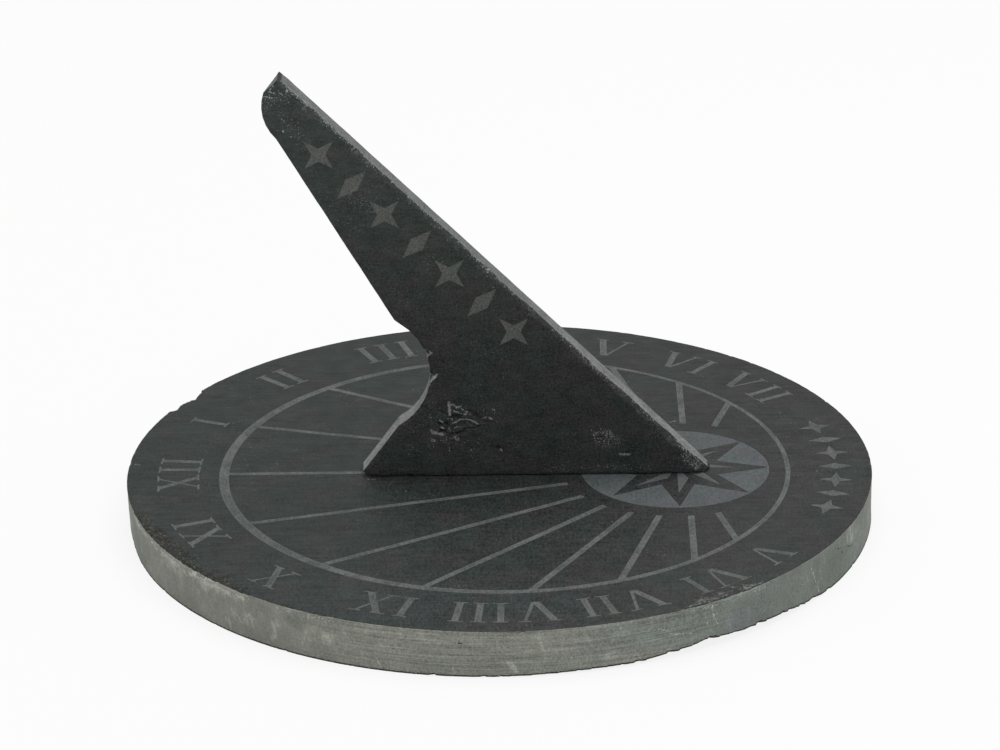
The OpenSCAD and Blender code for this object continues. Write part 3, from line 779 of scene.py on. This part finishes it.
# Rows of radius and height from the seam on the top, over the chips and down the wall to the underside, each
# carried round the axis
def makeRim(shell):
    count = plate["around"]
    wallRadius = plateRadius - plate["wallInset"]
    turn = np.arange(count) * 2 * np.pi / count
    bearing = (90 - np.degrees(turn)) % 360
    rng = np.random.default_rng(4)
    low, high = (0.15, 0.1, 0.1), (0.5, 0.4, 0.35)
    small = [(rng.uniform(0, 360), *rng.uniform(low, high)) for _ in range(plate["smallChips"])]
    reach, drop = biteHeights(bearing, plate["chips"] + small, 3)
    ring = spread(plateRadius * np.cos(turn), plateRadius * np.sin(turn), 0)
    worn = plate["edgeWear"] * (1 + 0.6 * roughNoise(ring, 2.0, 2, 12))
    reach, drop = reach + worn, drop + worn
    lift = np.interp(bearing, *np.transpose(plate["lift"]))
    ragged = roughNoise(ring, 4.0, 4, 15)
    arc = np.radians(bearing) * plateRadius
    step = (arc + 2.5 * ragged) / plate["stepLength"]
    cell = np.floor(step).astype(np.int64)
    jagged = (step - cell - 0.5) * cornerValue(cell, 0, 0, 17) * plate["stepHeight"] * np.minimum(lift, 1.6)
    nicked = plate["nickHeight"] * np.clip(roughNoise(ring, 2.6, 3, 16) - 0.3, 0, 1)
    lift = np.maximum(lift * (1 + 0.08 * ragged) + 0.05 * (1 + ragged) + jagged + nicked, 0.02)

    # The top, from the seam to where the chips start
    share = np.linspace(0, 1, 8)[:, None]
    radius = plate["seamRadius"] + (wallRadius - reach - plate["seamRadius"]) * share
    x, y = radius * np.cos(turn), radius * np.sin(turn)
    wearAndShade = topWear(x, y)
    pitted = np.minimum(roughNoise(spread(x, y, 0), 1.1, 2, 48) - 0.6, 0)
    height = plateTop + topRelief(x, y) + 0.3 * pitted * np.abs(wearAndShade) * (share > 0)
    # Painted shade: the outermost row of the top is set dark on its far, east half only, a dark line along
    # the far edge
    wearAndShade = stronger(wearAndShade, -0.7 * (share == 1) * smoothStep(-0.3, 0.3, np.cos(turn)))
    rows = [(radius, height, wearAndShade)]
    edgeHeight = height[-1]
    topRows = len(share) + 2

    # The chips: a hollow face from the top down to the rim's wall
    share = np.linspace(0, 1, 7)[1:, None]
    radius = wallRadius - reach * (1 - share)
    height = edgeHeight - drop * share**1.5
    place = spread(radius * np.cos(turn), radius * np.sin(turn), height)
    inner = np.sin(np.pi * share)
    rough = roughNoise(place, 1.3, 3, 22) * inner * np.minimum(reach, drop)
    chipped = smoothStep(0.6, 1.4, np.minimum(reach, drop))
    tone = chipped * (0.25 + 0.7 * share) * (0.5 + roughNoise(place, 2.2, 2, 23))
    rows.append((radius - 0.3 * np.abs(rough), height + 0.4 * rough - 0.12 * drop * inner, tone))

    # The wall, with level saw lines and broad waves, drawn in a little towards the ground at north and south,
    # and its lowest rows set dark as painted shade along the foot
    share = np.append(np.linspace(0, 1, 24)[1:-1], (0.975, 1))[:, None]
    height = (edgeHeight - drop) * (1 - share) + lift * share
    place = spread(ring[..., 0], ring[..., 1], height)
    lines = smoothNoise(place, (60, 60, 0.9), 31) + 0.6 * smoothNoise(place, (25, 25, 0.5), 32)
    waves = plate["wallWaves"] * (1 - roughNoise(place, (18, 18, 12), 3, 35))
    sawn = plate["sawDepth"] * (1.6 - lines)
    fade = np.sin(np.pi * share) ** 0.3
    drawn = plate["drawnIn"] * share**2 * np.maximum(np.sin(turn), 0) ** 4
    arc = np.broadcast_to(arc, height.shape)
    deep, marked = markField(arc, height, plate["rimMarks"], 37, (math.radians(1) * plateRadius, 1))
    radius = wallRadius - (waves + sawn + deep) * fade - drawn
    under = np.abs(edgeCrumbs(*ring[..., :2].T))
    tone = under * smoothStep(0.26, 0.0, share) * (0.7 + roughNoise(place, 2, 2, 36))
    tone = stronger(np.maximum(tone, 0), marked)
    # Painted shade: the two lowest rows of the wall are set dark for the contact shadow along the foot
    rows.append((radius, height, np.where(share > 0.97, -1, tone)))

    # The lower edge, broken away inwards and set dark as painted shade under the rim, and the start of the
    # underside
    share = np.linspace(0, 1, 6)[1:, None]
    least, more = plate["breakReach"]
    radius = radius[-1] - (least + more * lift) * share
    height = lift * (1 - share) ** 1.3
    rows.append((radius, height, np.full_like(radius, -0.9)))
    share = np.array([[0.5], [1.0]])
    radius = radius[-1] + (plate["undersideRadius"] - radius[-1]) * share
    rows.append((radius, np.zeros_like(radius), np.zeros_like(radius)))

    radius, height, wearAndShade = (np.concatenate([row[k] for row in rows]) for k in range(3))
    points = spread(radius * np.cos(turn), radius * np.sin(turn), height)
    triangles = gridTriangles(len(radius), count, True)
    rowOf = triangles.min(1) // count
    shell.add(points, triangles, np.where((rowOf < topRows) | (rowOf > len(radius) - 4), 0, 2), wearAndShade)


# Points half a millimetre inside the cuts, where the pale line round each of them ends: the middle of each
# edge moved square to it, to the side that lies inside
def cutBorders(marks, outline):
    points, edges = marks
    start, end = points[edges[:, 0]], points[edges[:, 1]]
    way = (end - start) / np.linalg.norm(end - start, axis=1)[:, None]
    square = np.stack([-way[:, 1], way[:, 0]], -1)
    beside = np.concatenate([(start + end) / 2 + side * square for side in (0.5, -0.5)])
    beside = beside[isInside(beside, *marks)]
    return beside[gapTo(beside, outline[0]) > 0.42]


# A net over the engraved outlines, with their insides sunk by the depth of the marks and a band between
def makeTop(shell, holes):
    points, edges = cutEdges(*cadOutline("dial_plate", 2, plateTop - cutDepth), plate["markStep"])
    still = spread(points[:, 0], points[:, 1], 0)
    stray = np.stack([roughNoise(still, 1.5, 2, 51), roughNoise(still, 1.5, 2, 57)], -1)
    marks = points + plate["wobble"] * stray, edges
    reach = plate["seamRadius"]
    outline = joinOutlines(marks, circlePoints((0, 0), reach, plate["around"]), *holes)
    loose = [scattered((-reach, -reach), (reach, reach), plate["topSpacing"], 6)]
    for fleck in plate["flecks"]:
        place = np.array(fleck[3:5])
        loose.append(scattered(place - 2, place + 2, plate["fleckSpacing"], 13))
    loose = keepClear(np.concatenate(loose), reach - 0.8, outline, 0.6)
    corners, faces, middles = flatNet(outline, np.concatenate([loose, cutBorders(marks, outline)]))
    holed = isInside(middles, *joinOutlines(*holes))
    sunk = isInside(middles, *marks) & ~holed
    height = plateTop + topRelief(*corners.T)
    shell.add(np.column_stack([corners, height]), faces[~sunk & ~holed], 0, topWear(*corners.T))
    floor = height - plate["markDepth"] + 0.02 * roughNoise(spread(*corners.T, 0), 2.5, 2, 61)
    a, b = openEdges(faces[sunk]).T
    edged = np.zeros(len(corners))
    edged[a] = 0.6 + 0.5 * smoothNoise(spread(*corners[a].T, 0), 2.0, 63)
    shell.add(np.column_stack([corners, floor]), faces[sunk], 1, edged)
    line = np.stack([b, a], 1).ravel()
    low, high = np.column_stack([corners, floor]), np.column_stack([corners, height])
    shell.addBands([low[line], high[line]], 1, 0.8)


# A flat net at the ground, with the holes left out
def makeUnderside(shell, holes):
    border = circlePoints((0, 0), plate["undersideRadius"], plate["around"])
    outline = joinOutlines(border, *holes)
    reach = plate["undersideRadius"]
    loose = scattered((-reach, -reach), (reach, reach), plate["undersideSpacing"], 7)
    loose = keepClear(loose, reach - 2, outline, 2)
    corners, faces, middles = flatNet(outline, loose)
    faces = faces[~isInside(middles, *joinOutlines(*holes))][:, ::-1]
    shell.add(np.column_stack([corners, np.zeros(len(corners))]), faces, 0)


# Stepped hole from the underside to the top: a profile of radius and height carried round the screw's axis
def makeBore(shell, centre, profile, count):
    turn = np.arange(count) * 2 * np.pi / count
    radius, height = np.array(profile).T[:, :, None]
    x = centre[0] + radius * np.cos(turn)
    y = centre[1] + radius * np.sin(turn)
    height = np.broadcast_to(height, x.shape).copy()
    height[-1] = plateTop + topRelief(x[-1], y[-1])
    shell.add(spread(x, y, height), gridTriangles(len(profile), count, True), 2)


# Rim, top, underside and the two stepped holes, which stand where the washers do
def makeDialPlate():
    washersLow, washersHigh = boxOf("screw_washers")
    washerWidth = washersHigh[0] - washersLow[0]
    axisX = (washersLow[0] + washersHigh[0]) / 2
    places = [(axisX, washersLow[1] + washerWidth / 2), (axisX, washersHigh[1] - washerWidth / 2)]
    wide, narrow, deep = washerWidth / 2 + plate["boreRoom"], plate["boreRadius"], washersHigh[2]
    count = plate["boreCorners"]
    shell = Shell()
    makeRim(shell)
    makeTop(shell, [circlePoints(place, narrow, count) for place in places])
    makeUnderside(shell, [circlePoints(place, wide, count) for place in places])
    for place in places:
        makeBore(shell, place, [(wide, 0), (wide, deep), (narrow, deep), (narrow, plateTop)], count)
    finishes = [makeDialSlate(), makeDialCut(), makeRimSlate()]
    return shell.build("dial_plate_slate", finishes, plate["sharpAngle"])


dialPlate = makeDialPlate()
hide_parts("dial_plate")
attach(dialPlate, "root")


# The gnomon

gnomon = {
    "sharpAngle": 40,
    "outlineStep": 0.55,
    "spacing": 0.75,
    "fineSpacing": 0.42,
    "markStep": 0.6,
    "markDepth": 0.08,
    "edgeWear": 0.15,
    "styleChip": 1.5,  # usual depth of the crumbled strip beside the style
    "styleChipWidth": 1.3,
    "eastChip": 0.12,
    "styleProud": 0.16,  # how far the style stands out past the CAD solid
    "stray": 0.06,  # how far the sawn outline strays
    "heelWear": 0.25,
    "eastShare": 0.25,  # unevenness of the east side as a share of the west side's
    "toeRadius": 3.6,  # rounding of the toe in plan
    "deepest": 4.0,
    # flat chips out of the edge, each to the right of its inner sides, whose corners are along and up
    "chips": [
        [(97.0, 31.6), (94.5, 32.4), (91.06, 36.9), (92.9, 37.6)],
        [(94.4, 43.4), (92.5, 44.8), (95.05, 46.2)],
    ],
    "chipSlope": 2.2,
    "chipTone": 0.4,
    # how far the nose's lower corner, seen from the east, lies under the one seen from the west
    "noseDrop": 2.2,
    "noseHeights": (129, 136.6),  # where that starts and where it is full
    "apexHeight": 140.2,  # over which the sawn edge is dark
    # parts of the west face with a finer net: low and high corners along and up, and spacing
    "fineParts": [
        ((66, 6), (96, 30), 0.42), ((26, 5), (42, 18), 0.42), ((88, 26), (99, 49), 0.42),
        ((128, 118), (148, 143), 0.42), ((76, 14), (92, 28), 0.3),
    ],
    # marks on the west face: half width, tone, depth, and points along from the toe and up from the dial
    "faceMarks": [
        (0.63, 1.35, 0.15, 87.1, 26.9, 87, 22.3), (0.38, 0.935, 0.1, 86, 26.2, 84.6, 25, 83.2, 25.4),
        (0.38, 0.85, 0.15, 83, 24.5, 81.1, 23.1, 81.6, 22.4, 83.8, 22.8, 85.8, 23.8),
        (1, -0.9, 1.3, 85.6, 21.7, 83.3, 21.7), (1, -0.45, 0.6, 80.8, 23.5, 78.6, 22.2, 76.4, 20.1),
        (0.36, 1.19, 0.05, 86.1, 19, 83.3, 20.7, 81.1, 20.7, 79.4, 20, 77.2, 18.7),
        (0.4, -0.9, 0.9, 77.2, 18.3, 78.6, 17.4, 82, 17.3, 82.6, 16.2, 84.2, 15.6, 87, 15.3),
        (0.7, -1, 1.4, 90.6, 19, 90, 18.8), (0.6, -1, 1.4, 88.2, 19.6, 88, 19),
        (0.6, -1, 1.3, 89.8, 16.6, 88.7, 16.2), (0.48, 1.02, 0.2, 90.2, 20.3, 89.2, 19.7),
        (0.48, 1.19, 0.2, 89.6, 17.7, 89.3, 17.4),
        (0.63, 1.02, 0.2, 93.2, 16.8, 92.6, 16, 91.2, 15.5, 89.5, 15.2),
        (0.58, 0.85, 0.1, 92.9, 13.1, 92.3, 13), (0.58, 0.595, 0.1, 89.8, 12.8, 88.7, 13),
        (0.78, 0.68, 0.1, 85.6, 14.4, 84.3, 13.5), (0.58, 0.595, 0.1, 84.9, 11.7, 84.7, 11.4),
        (0.36, 0.595, 0.05, 87.2, 11.7, 87.4, 7.7), (1.5, -0.55, 0.35, 81, 10.1, 78.4, 10.1),
        (0.5, -1, 1.2, 71.2, 10.4, 70.7, 9.9), (0.43, 1.35, 0.1, 70.3, 9.5, 69.9, 9.2),
        (0.5, -0.7, 0.5, 68.4, 8), (0.43, 1.02, 0.2, 73.9, 21.1, 73, 20.6),
        (0.43, 0.765, 0.1, 72.4, 24.1, 71.6, 23.9), (0.43, 0.68, 0.3, 76.1, 20.8, 74.7, 21.4),
        (0.45, -0.7, 0.6, 76.1, 19.5, 74.2, 19.7), (0.5, -0.5, 0.5, 88, 22.4, 90, 23.6),
        (0.38, 0.68, 0.3, 87.7, 21.1, 86.4, 20.8, 86.1, 19.3, 87.2, 18.4, 87.3, 16.9),
        (0.38, 0.595, 0.3, 85.6, 17.5, 84.2, 17.9, 82.8, 18), (0.38, 0.51, 0.3, 85.6, 16.2, 85.4, 17.5),
        (0.38, 0.51, 0.3, 81.4, 20.1, 80.8, 18.9, 79.7, 18.3, 78.1, 18.2),
        (1.3, 0.12, 0.35, 84, 18.6, 80, 18.8), (1.2, 0.1, 0.5, 87, 17.6),
        (1.8, 0.6, 0.05, 38.7, 15.1, 35, 15.5, 33, 14), (2.2, 0.48, 0.05, 37.5, 12.2, 32.5, 13.3),
        (2, 0.4, 0.05, 35, 10.4, 31.3, 11.4), (0.38, 1.35, 0.1, 30.6, 7.3, 27, 7.2),
        (0.3, -1, 0.4, 29, 8, 25.8, 8.2), (0.48, 0.85, 0.1, 37.3, 1.6, 36.7, 1.6),
        (0.38, 0.765, 0.05, 145.7, 135.5, 142.5, 134.7), (0.38, 0.85, 0.05, 144.2, 137.2, 141.1, 136.1),
        (0.43, 0.85, 0.05, 140, 136.4, 138, 135), (0.38, 1.19, 0.1, 138.2, 136, 137.6, 137.2),
        (0.58, 1.19, 0.1, 132.5, 133.6, 131.2, 131.9), (0.43, 0.595, 0.05, 139.8, 127.9, 138.8, 126.5),
        (0.43, 0.51, 0.05, 137.7, 121.7, 133.8, 120.9), (0.58, 0.765, 0.05, 139.4, 123.2, 139, 123),
        (0.7, -0.8, 0.3, 140.4, 141.4, 139.8, 140.6), (0.68, 0.34, 0.05, 89.6, 53, 84.7, 50.8),
        (0.6, -0.8, 0.2, 144.8, 136, 142.6, 138.4, 141, 140.4), (0.43, 0.85, 0, 144, 136.6, 141.8, 139.2),
        (0.4, 1.8, 0, 91.06, 36.9, 94.5, 32.4), (0.3, 1.4, 0, 94.3, 43.6, 92.6, 44.8, 94.9, 46.1),
        (2, 0.5, 0, 2.2, 1.5, 6, 3, 9, 6), (1.2, -0.6, 0.1, 1, 0.4, 3, 1.4),
        (0.3, 0.9, 0, 94, 33, 93.5, 36, 93.5, 39.2, 94, 42.6, 95, 45.8),
        (2.4, 0.34, 0, 54, 2, 36, 2.6, 20, 2), (3, 0.32, 0, 94, 28, 92.5, 20, 93, 12),
        (3, 0.34, 0, 89, 14, 82, 14.5), (2.6, 0.32, 0, 76, 24, 70, 20), (2, 0.3, 0, 103, 13, 97, 20),
        (4, 0.36, 0, 146, 134, 139, 134), (3.5, 0.32, 0, 139, 129, 131, 118), (4, 0.34, 0, 120, 101, 110, 96),
        (4, 0.28, 0, 104, 66, 98, 60), (4, 0.26, 0, 82, 47, 70, 44),
    ],
}


# Distance below the line of the style
def styleGap(points):
    along, up = points[:, 0] - toeY + 0.2, points[:, 1] - plateTop
    return along * math.sin(styleAngle) - up * math.cos(styleAngle)


# Depth of a flat chip: its slope times the distance within the nearest of its sides
def chipDepth(x, y, corners):
    inside = np.full_like(x, 99.0)
    for start, end in zip(corners, corners[1:]):
        way = np.subtract(end, start) / np.hypot(*np.subtract(end, start))
        inside = np.minimum(inside, (x - start[0]) * way[1] - (y - start[1]) * way[0])
    return gnomon["chipSlope"] * np.maximum(inside, 0)


# How far the face lies back from the slab's flat side, and how broken it is
def faceDepth(corners, outline, side):
    along, up = corners[:, 0] - toeY, corners[:, 1] - plateTop
    west = side == "west"
    place = spread(along, up, 0 if west else 50)
    depth = 0.08 + 0.06 * roughNoise(place, 16, 3, 91) + 0.015 * smoothNoise(place, 2.5, 95)
    away = gapTo(corners, outline[0])
    worn = gnomon["edgeWear"] * (1 + 0.7 * roughNoise(place, 2, 2, 97))
    depth += worn * np.clip(1 - away / 0.9, 0, 1) ** 2
    depth *= 1 if west else gnomon["eastShare"]

    # The crumbled strip beside the style, deeper towards the toe on the west side
    below = styleGap(corners)
    lengthwise = along * math.cos(styleAngle) + up * math.sin(styleAngle)
    crumbleAndShade = np.clip(0.6 + 0.9 * roughNoise(spread(lengthwise, 0, place[..., 2]), 6, 4, 101), 0.15, 1.4)
    if west:
        crumbleAndShade += 0.9 * smoothStep(14, 2, lengthwise)
    width = gnomon["styleChipWidth"] * (0.5 + crumbleAndShade)
    near = np.clip(1 - below / width + 0.3 * roughNoise(place, 1.2, 2, 105), 0, 1) * (below < 2 * width)
    depth += gnomon["styleChip" if west else "eastChip"] * crumbleAndShade * near**1.2
    thick = np.clip(0.7 + 0.9 * roughNoise(place, 7, 3, 104), 0.1, 1.5)
    thin = 0.18 + 0.08 * smoothStep(50, 120, up)
    crumbs = (0.45 * np.exp(-below / 0.9) + thin * np.exp(-below / 4)) * thick
    tone = np.maximum(near * (0.1 + roughNoise(place, 1.5, 2, 103)), crumbs)

    if west:
        deep, marked = markField(along, up, gnomon["faceMarks"], 71)
        depth += 0.55 * deep * (1 + 0.3 * roughNoise(place, 0.9, 2, 73))
        # The worn arris over the heel
        heel = smoothStep(92, 95, along) * smoothStep(37, 33, up) * np.clip(1 - away / 1.1, 0, 1)
        depth += gnomon["heelWear"] * heel
        tone = stronger(tone, heel * (-0.5 + 0.6 * roughNoise(place, 1.5, 2, 107)))
        for sides in gnomon["chips"]:
            deep = chipDepth(along, up, sides)
            depth += deep
            tone = np.where(deep > 0.1, gnomon["chipTone"], tone)
        tone = stronger(tone, np.where(marked < 0, 0.75 * marked, marked))
        # Painted shade: the bottom corner of the face at the toe, where it meets the dial, is set dark
        tone = np.where(up < 1.5 - 0.2 * along, np.minimum(tone, -0.9), tone)
    radius = gnomon["toeRadius"] * (1 if west else 0.5)
    back = np.clip(radius - along, 0, radius)
    depth += radius - np.sqrt(radius**2 - back**2)
    return np.minimum(depth, gnomon["deepest"]), tone


# Two faces, each a net inside the outline that lies back by its depth, and the sawn edge in bands between
def makeGnomon():
    west, east = gnomonLow[0], gnomonHigh[0]
    points, edges = cutEdges(*cadOutline("gnomon", 0, east), gnomon["outlineStep"])
    marks = cutEdges(*cadOutline("gnomon", 0, west + cutDepth), gnomon["markStep"])
    still = spread(points[:, 0], points[:, 1], 0)
    stray = gnomon["stray"] * np.stack([roughNoise(still, 4, 3, 81), roughNoise(still, 4, 3, 87)], -1)
    up = points[:, 1] - plateTop
    raised = smoothStep(0.2, 3, up)[:, None]
    onStyle = (styleGap(points) < 0.5) * smoothStep(1.2, 4, up) * smoothStep(140.9, 138, up)
    proud = gnomon["styleProud"] * onStyle[:, None] * (-math.sin(styleAngle), math.cos(styleAngle))
    outline = np.minimum(points + stray * raised + proud, gnomonHigh[1:] - (0, gnomon["stray"])), edges
    # Seen from the east, the nose reaches lower down
    heights = [*gnomon["noseHeights"], gnomonHigh[2] - plateTop]
    lowered = np.interp(up, heights, [0, 1, 0]) * (styleGap(points) > 1)
    eastOutline = outline[0] - lowered[:, None] * (0, gnomon["noseDrop"]), edges
    low, high = gnomonLow[1:], gnomonHigh[1:]
    shell = Shell()
    borders = []
    for side, plane, inward, outline in (("west", west, 1, outline), ("east", east, -1, eastOutline)):
        lines = outline
        loose = [scattered(low, high, gnomon["spacing"] * 1.8, 8)]
        if side == "west":
            lines = joinOutlines(outline, marks)
            strip = scattered(low, high, gnomon["fineSpacing"], 10)
            loose = [scattered(low, high, gnomon["spacing"], 8), strip[styleGap(strip) < 3.2]]
            for near, far, spacing in gnomon["fineParts"]:
                near, far = np.add(near, (toeY, plateTop)), np.add(far, (toeY, plateTop))
                loose.append(scattered(near, far, spacing, 9))
        loose = np.concatenate(loose)
        loose = loose[isInside(loose, *outline)]
        loose = loose[gapTo(loose, lines[0]) > 0.3]
        corners, faces, middles = flatNet(lines, loose)
        faces = faces[isInside(middles, *outline)]
        middles = corners[faces].mean(1)
        depth, wearAndShade = faceDepth(corners, outline, side)
        points = np.column_stack([plane + inward * depth, corners])
        if side == "west":
            sunk = isInside(middles, *marks)
            floor = points + (gnomon["markDepth"], 0, 0)
            shell.add(points, faces[~sunk][:, ::-1], 0, wearAndShade)
            shell.add(floor, faces[sunk][:, ::-1], 1)
            line = openEdges(faces[sunk]).ravel()
            shell.addBands([floor[line], points[line]], 1)
        else:
            shell.add(points, faces, 0, wearAndShade)
        count = len(outline[0])
        borders.append((points[:count], wearAndShade[:count]))
    line = outline[1].ravel()
    # The last step at 0.94 keeps the painted shade along the east arris thin
    share = np.append(np.linspace(0, 1, 12)[:-1], (0.94, 1))[:, None, None]
    (near, nearWearAndShade), (far, farWear) = borders
    across = near[line] * (1 - share) + far[line] * share
    share = share[..., 0]
    along, up = across[..., 1] - toeY, across[..., 2] - plateTop
    wearAndShade = np.clip(1 - 9 * share, 0, 1) * nearWearAndShade[line]
    wearAndShade = wearAndShade + np.clip(9 * share - 8, 0, 1) * farWear[line]
    wearAndShade = wearAndShade + 0.5 * np.clip(1 - 5 * share, 0, 1) * roughNoise(across, 2.5, 3, 111)
    # Painted shade: the sawn edge at the foot of the toe, where it meets the dial, is set dark
    wearAndShade = np.where((up < 1.4) & (along < 5), -1.0, wearAndShade)
    wearAndShade = np.where((along > 139) & (share < 0.5), wearAndShade - 0.4 + 0.8 * share, wearAndShade)
    wearAndShade = np.where(up > gnomon["apexHeight"], -0.9, wearAndShade)
    # Painted shade: a thin dark line along the far, east arris of the sawn edge
    wearAndShade = np.where(share > 0.93, -0.8, wearAndShade)
    shell.addBands(list(across), 2, wearAndShade)
    finishes = [makeGnomonSlate(), makeGnomonCut(), makeGnomonSawn()]
    return shell.build("gnomon_slate", finishes, gnomon["sharpAngle"])


gnomonPiece = makeGnomon()
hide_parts("gnomon")
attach(gnomonPiece, "root")


# The fixing under the gnomon keeps its CAD shapes. Each finish is its name, two colours, roughness, metallic
# value and size of grain.
fixing = {
    # The bedding resin is dark, and made darker still as painted shade for the gap under the gnomon
    "gnomon_bedding": ("beddingResinGapShade", (0.016, 0.017, 0.016), (0.026, 0.027, 0.025), 0.6, 0, 1),
    "gnomon_screws": ("stainless", (0.5, 0.5, 0.49), (0.62, 0.62, 0.6), 0.35, 1, 0.6),
    "screw_washers": ("washerSteel", (0.45, 0.45, 0.44), (0.58, 0.58, 0.57), 0.4, 1, 0.8),
    "gnomon_plugs": ("plugNylon", (0.7, 0.68, 0.6), (0.8, 0.78, 0.71), 0.5, 0, 2),
}

for node, finish in fixing.items():
    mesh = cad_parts[node].data
    mesh.materials.clear()
    mesh.materials.append(makePlain(*finish))
print("fixing finished")


# Floor, light and camera

stage = {
    "floorSize": 6.0,
    "white": (1.0, 1.0, 1.0),
    "floorColour": (0.82, 0.82, 0.81),
    "whiteShare": 0.85,  # share of plain white that the camera sees in the floor
    "worldStrength": 0.64,
    "lampPlace": (0.04, -0.2, 1.5),
    "lampAim": (0, 0, 0.03),
    "lampSize": 1.4,
    "lampWatts": 13.0,
}


# A pale sheet that keeps the shadow, which the camera sees mostly as plain white, and through from below
def makeFloor():
    half = stage["floorSize"] / 2
    mesh = bpy.data.meshes.new("floor")
    corners = [(-half, -half, 0), (half, -half, 0), (half, half, 0), (-half, half, 0)]
    mesh.from_pydata(corners, [], [(0, 1, 2, 3)])
    floor = bpy.data.objects.new("floor", mesh)
    bpy.context.scene.collection.objects.link(floor)
    maker = Maker("floorPaper", 0.2)
    maker.paint(stage["floorColour"], 0.8)
    path = maker.add("ShaderNodeLightPath", {}, {}, "Is Camera Ray")
    glossy = maker.add("ShaderNodeLightPath", {}, {}, "Is Glossy Ray")
    white = maker.add("ShaderNodeEmission", {}, {"Color": stage["white"], "Strength": 1})
    clear = maker.add("ShaderNodeBsdfTransparent", {}, {})
    behind = maker.add("ShaderNodeNewGeometry", {}, {}, "Backfacing")
    paper = Wire(maker, maker.shader.outputs[0])
    whitened = path.most(glossy) * stage["whiteShare"]
    seen = maker.add("ShaderNodeMixShader", {}, {0: whitened, 1: paper, 2: white})
    maker.show(maker.add("ShaderNodeMixShader", {}, {0: behind, 1: seen, 2: clear}))
    mesh.materials.append(maker.material)


# Even white light, and plain white where the camera looks past the floor
def makeWorld():
    world = bpy.data.worlds.new("studio")
    bpy.context.scene.world = world
    nodes = Nodes(world, "ShaderNodeOutputWorld")
    path = nodes.add("ShaderNodeLightPath", {}, {}, "Is Camera Ray")
    room = {"Color": stage["white"], "Strength": stage["worldStrength"]}
    room = nodes.add("ShaderNodeBackground", {}, room)
    white = nodes.add("ShaderNodeBackground", {}, {"Color": stage["white"], "Strength": 1})
    nodes.show(nodes.add("ShaderNodeMixShader", {}, {0: path, 1: room, 2: white}))


# One large soft light, turned to its aim
def makeLamp():
    lamp = bpy.data.lights.new("softbox", "AREA")
    lamp.energy, lamp.size = stage["lampWatts"], stage["lampSize"]
    softbox = bpy.data.objects.new("softbox", lamp)
    softbox.location = stage["lampPlace"]
    aim = Vector(stage["lampAim"]) - Vector(stage["lampPlace"])
    softbox.rotation_euler = aim.to_track_quat("-Z", "Y").to_euler()
    bpy.context.scene.collection.objects.link(softbox)


# Degrees from the west and over the ground, roll in degrees, and lengths in millimetres
camera = {
    "azimuth": 0.458,
    "elevation": 23.03,
    "roll": -0.834,
    "distance": 1520.0,
    "target": (-1.8, -0.7, 50.33),
    "lens": 164.4,
}


# The camera stands back along its direction from the target and is then rolled about it
def makeCamera():
    azimuth, elevation, roll = (math.radians(camera[key]) for key in ("azimuth", "elevation", "roll"))
    level = math.cos(elevation)
    back = Vector((-level * math.cos(azimuth), -level * math.sin(azimuth), math.sin(elevation)))
    right = (-back).cross(Vector((0, 0, 1))).normalized()
    up = right.cross(-back)
    rolledRight = right * math.cos(roll) + up * math.sin(roll)
    rolledUp = up * math.cos(roll) - right * math.sin(roll)
    data = bpy.data.cameras.new("camera")
    data.lens, data.sensor_width, data.sensor_fit = camera["lens"], 36, "HORIZONTAL"
    data.clip_start, data.clip_end = 0.1, 20
    viewer = bpy.data.objects.new("camera", data)
    matrix = Matrix((rolledRight, rolledUp, back)).transposed().to_4x4()
    matrix.translation = (Vector(camera["target"]) + back * camera["distance"]) * mm
    viewer.matrix_world = matrix
    bpy.context.scene.collection.objects.link(viewer)
    bpy.context.scene.camera = viewer


makeFloor()
makeWorld()
makeLamp()
makeCamera()
bpy.context.scene.view_settings.view_transform = "Standard"
print("floor, light and camera placed")
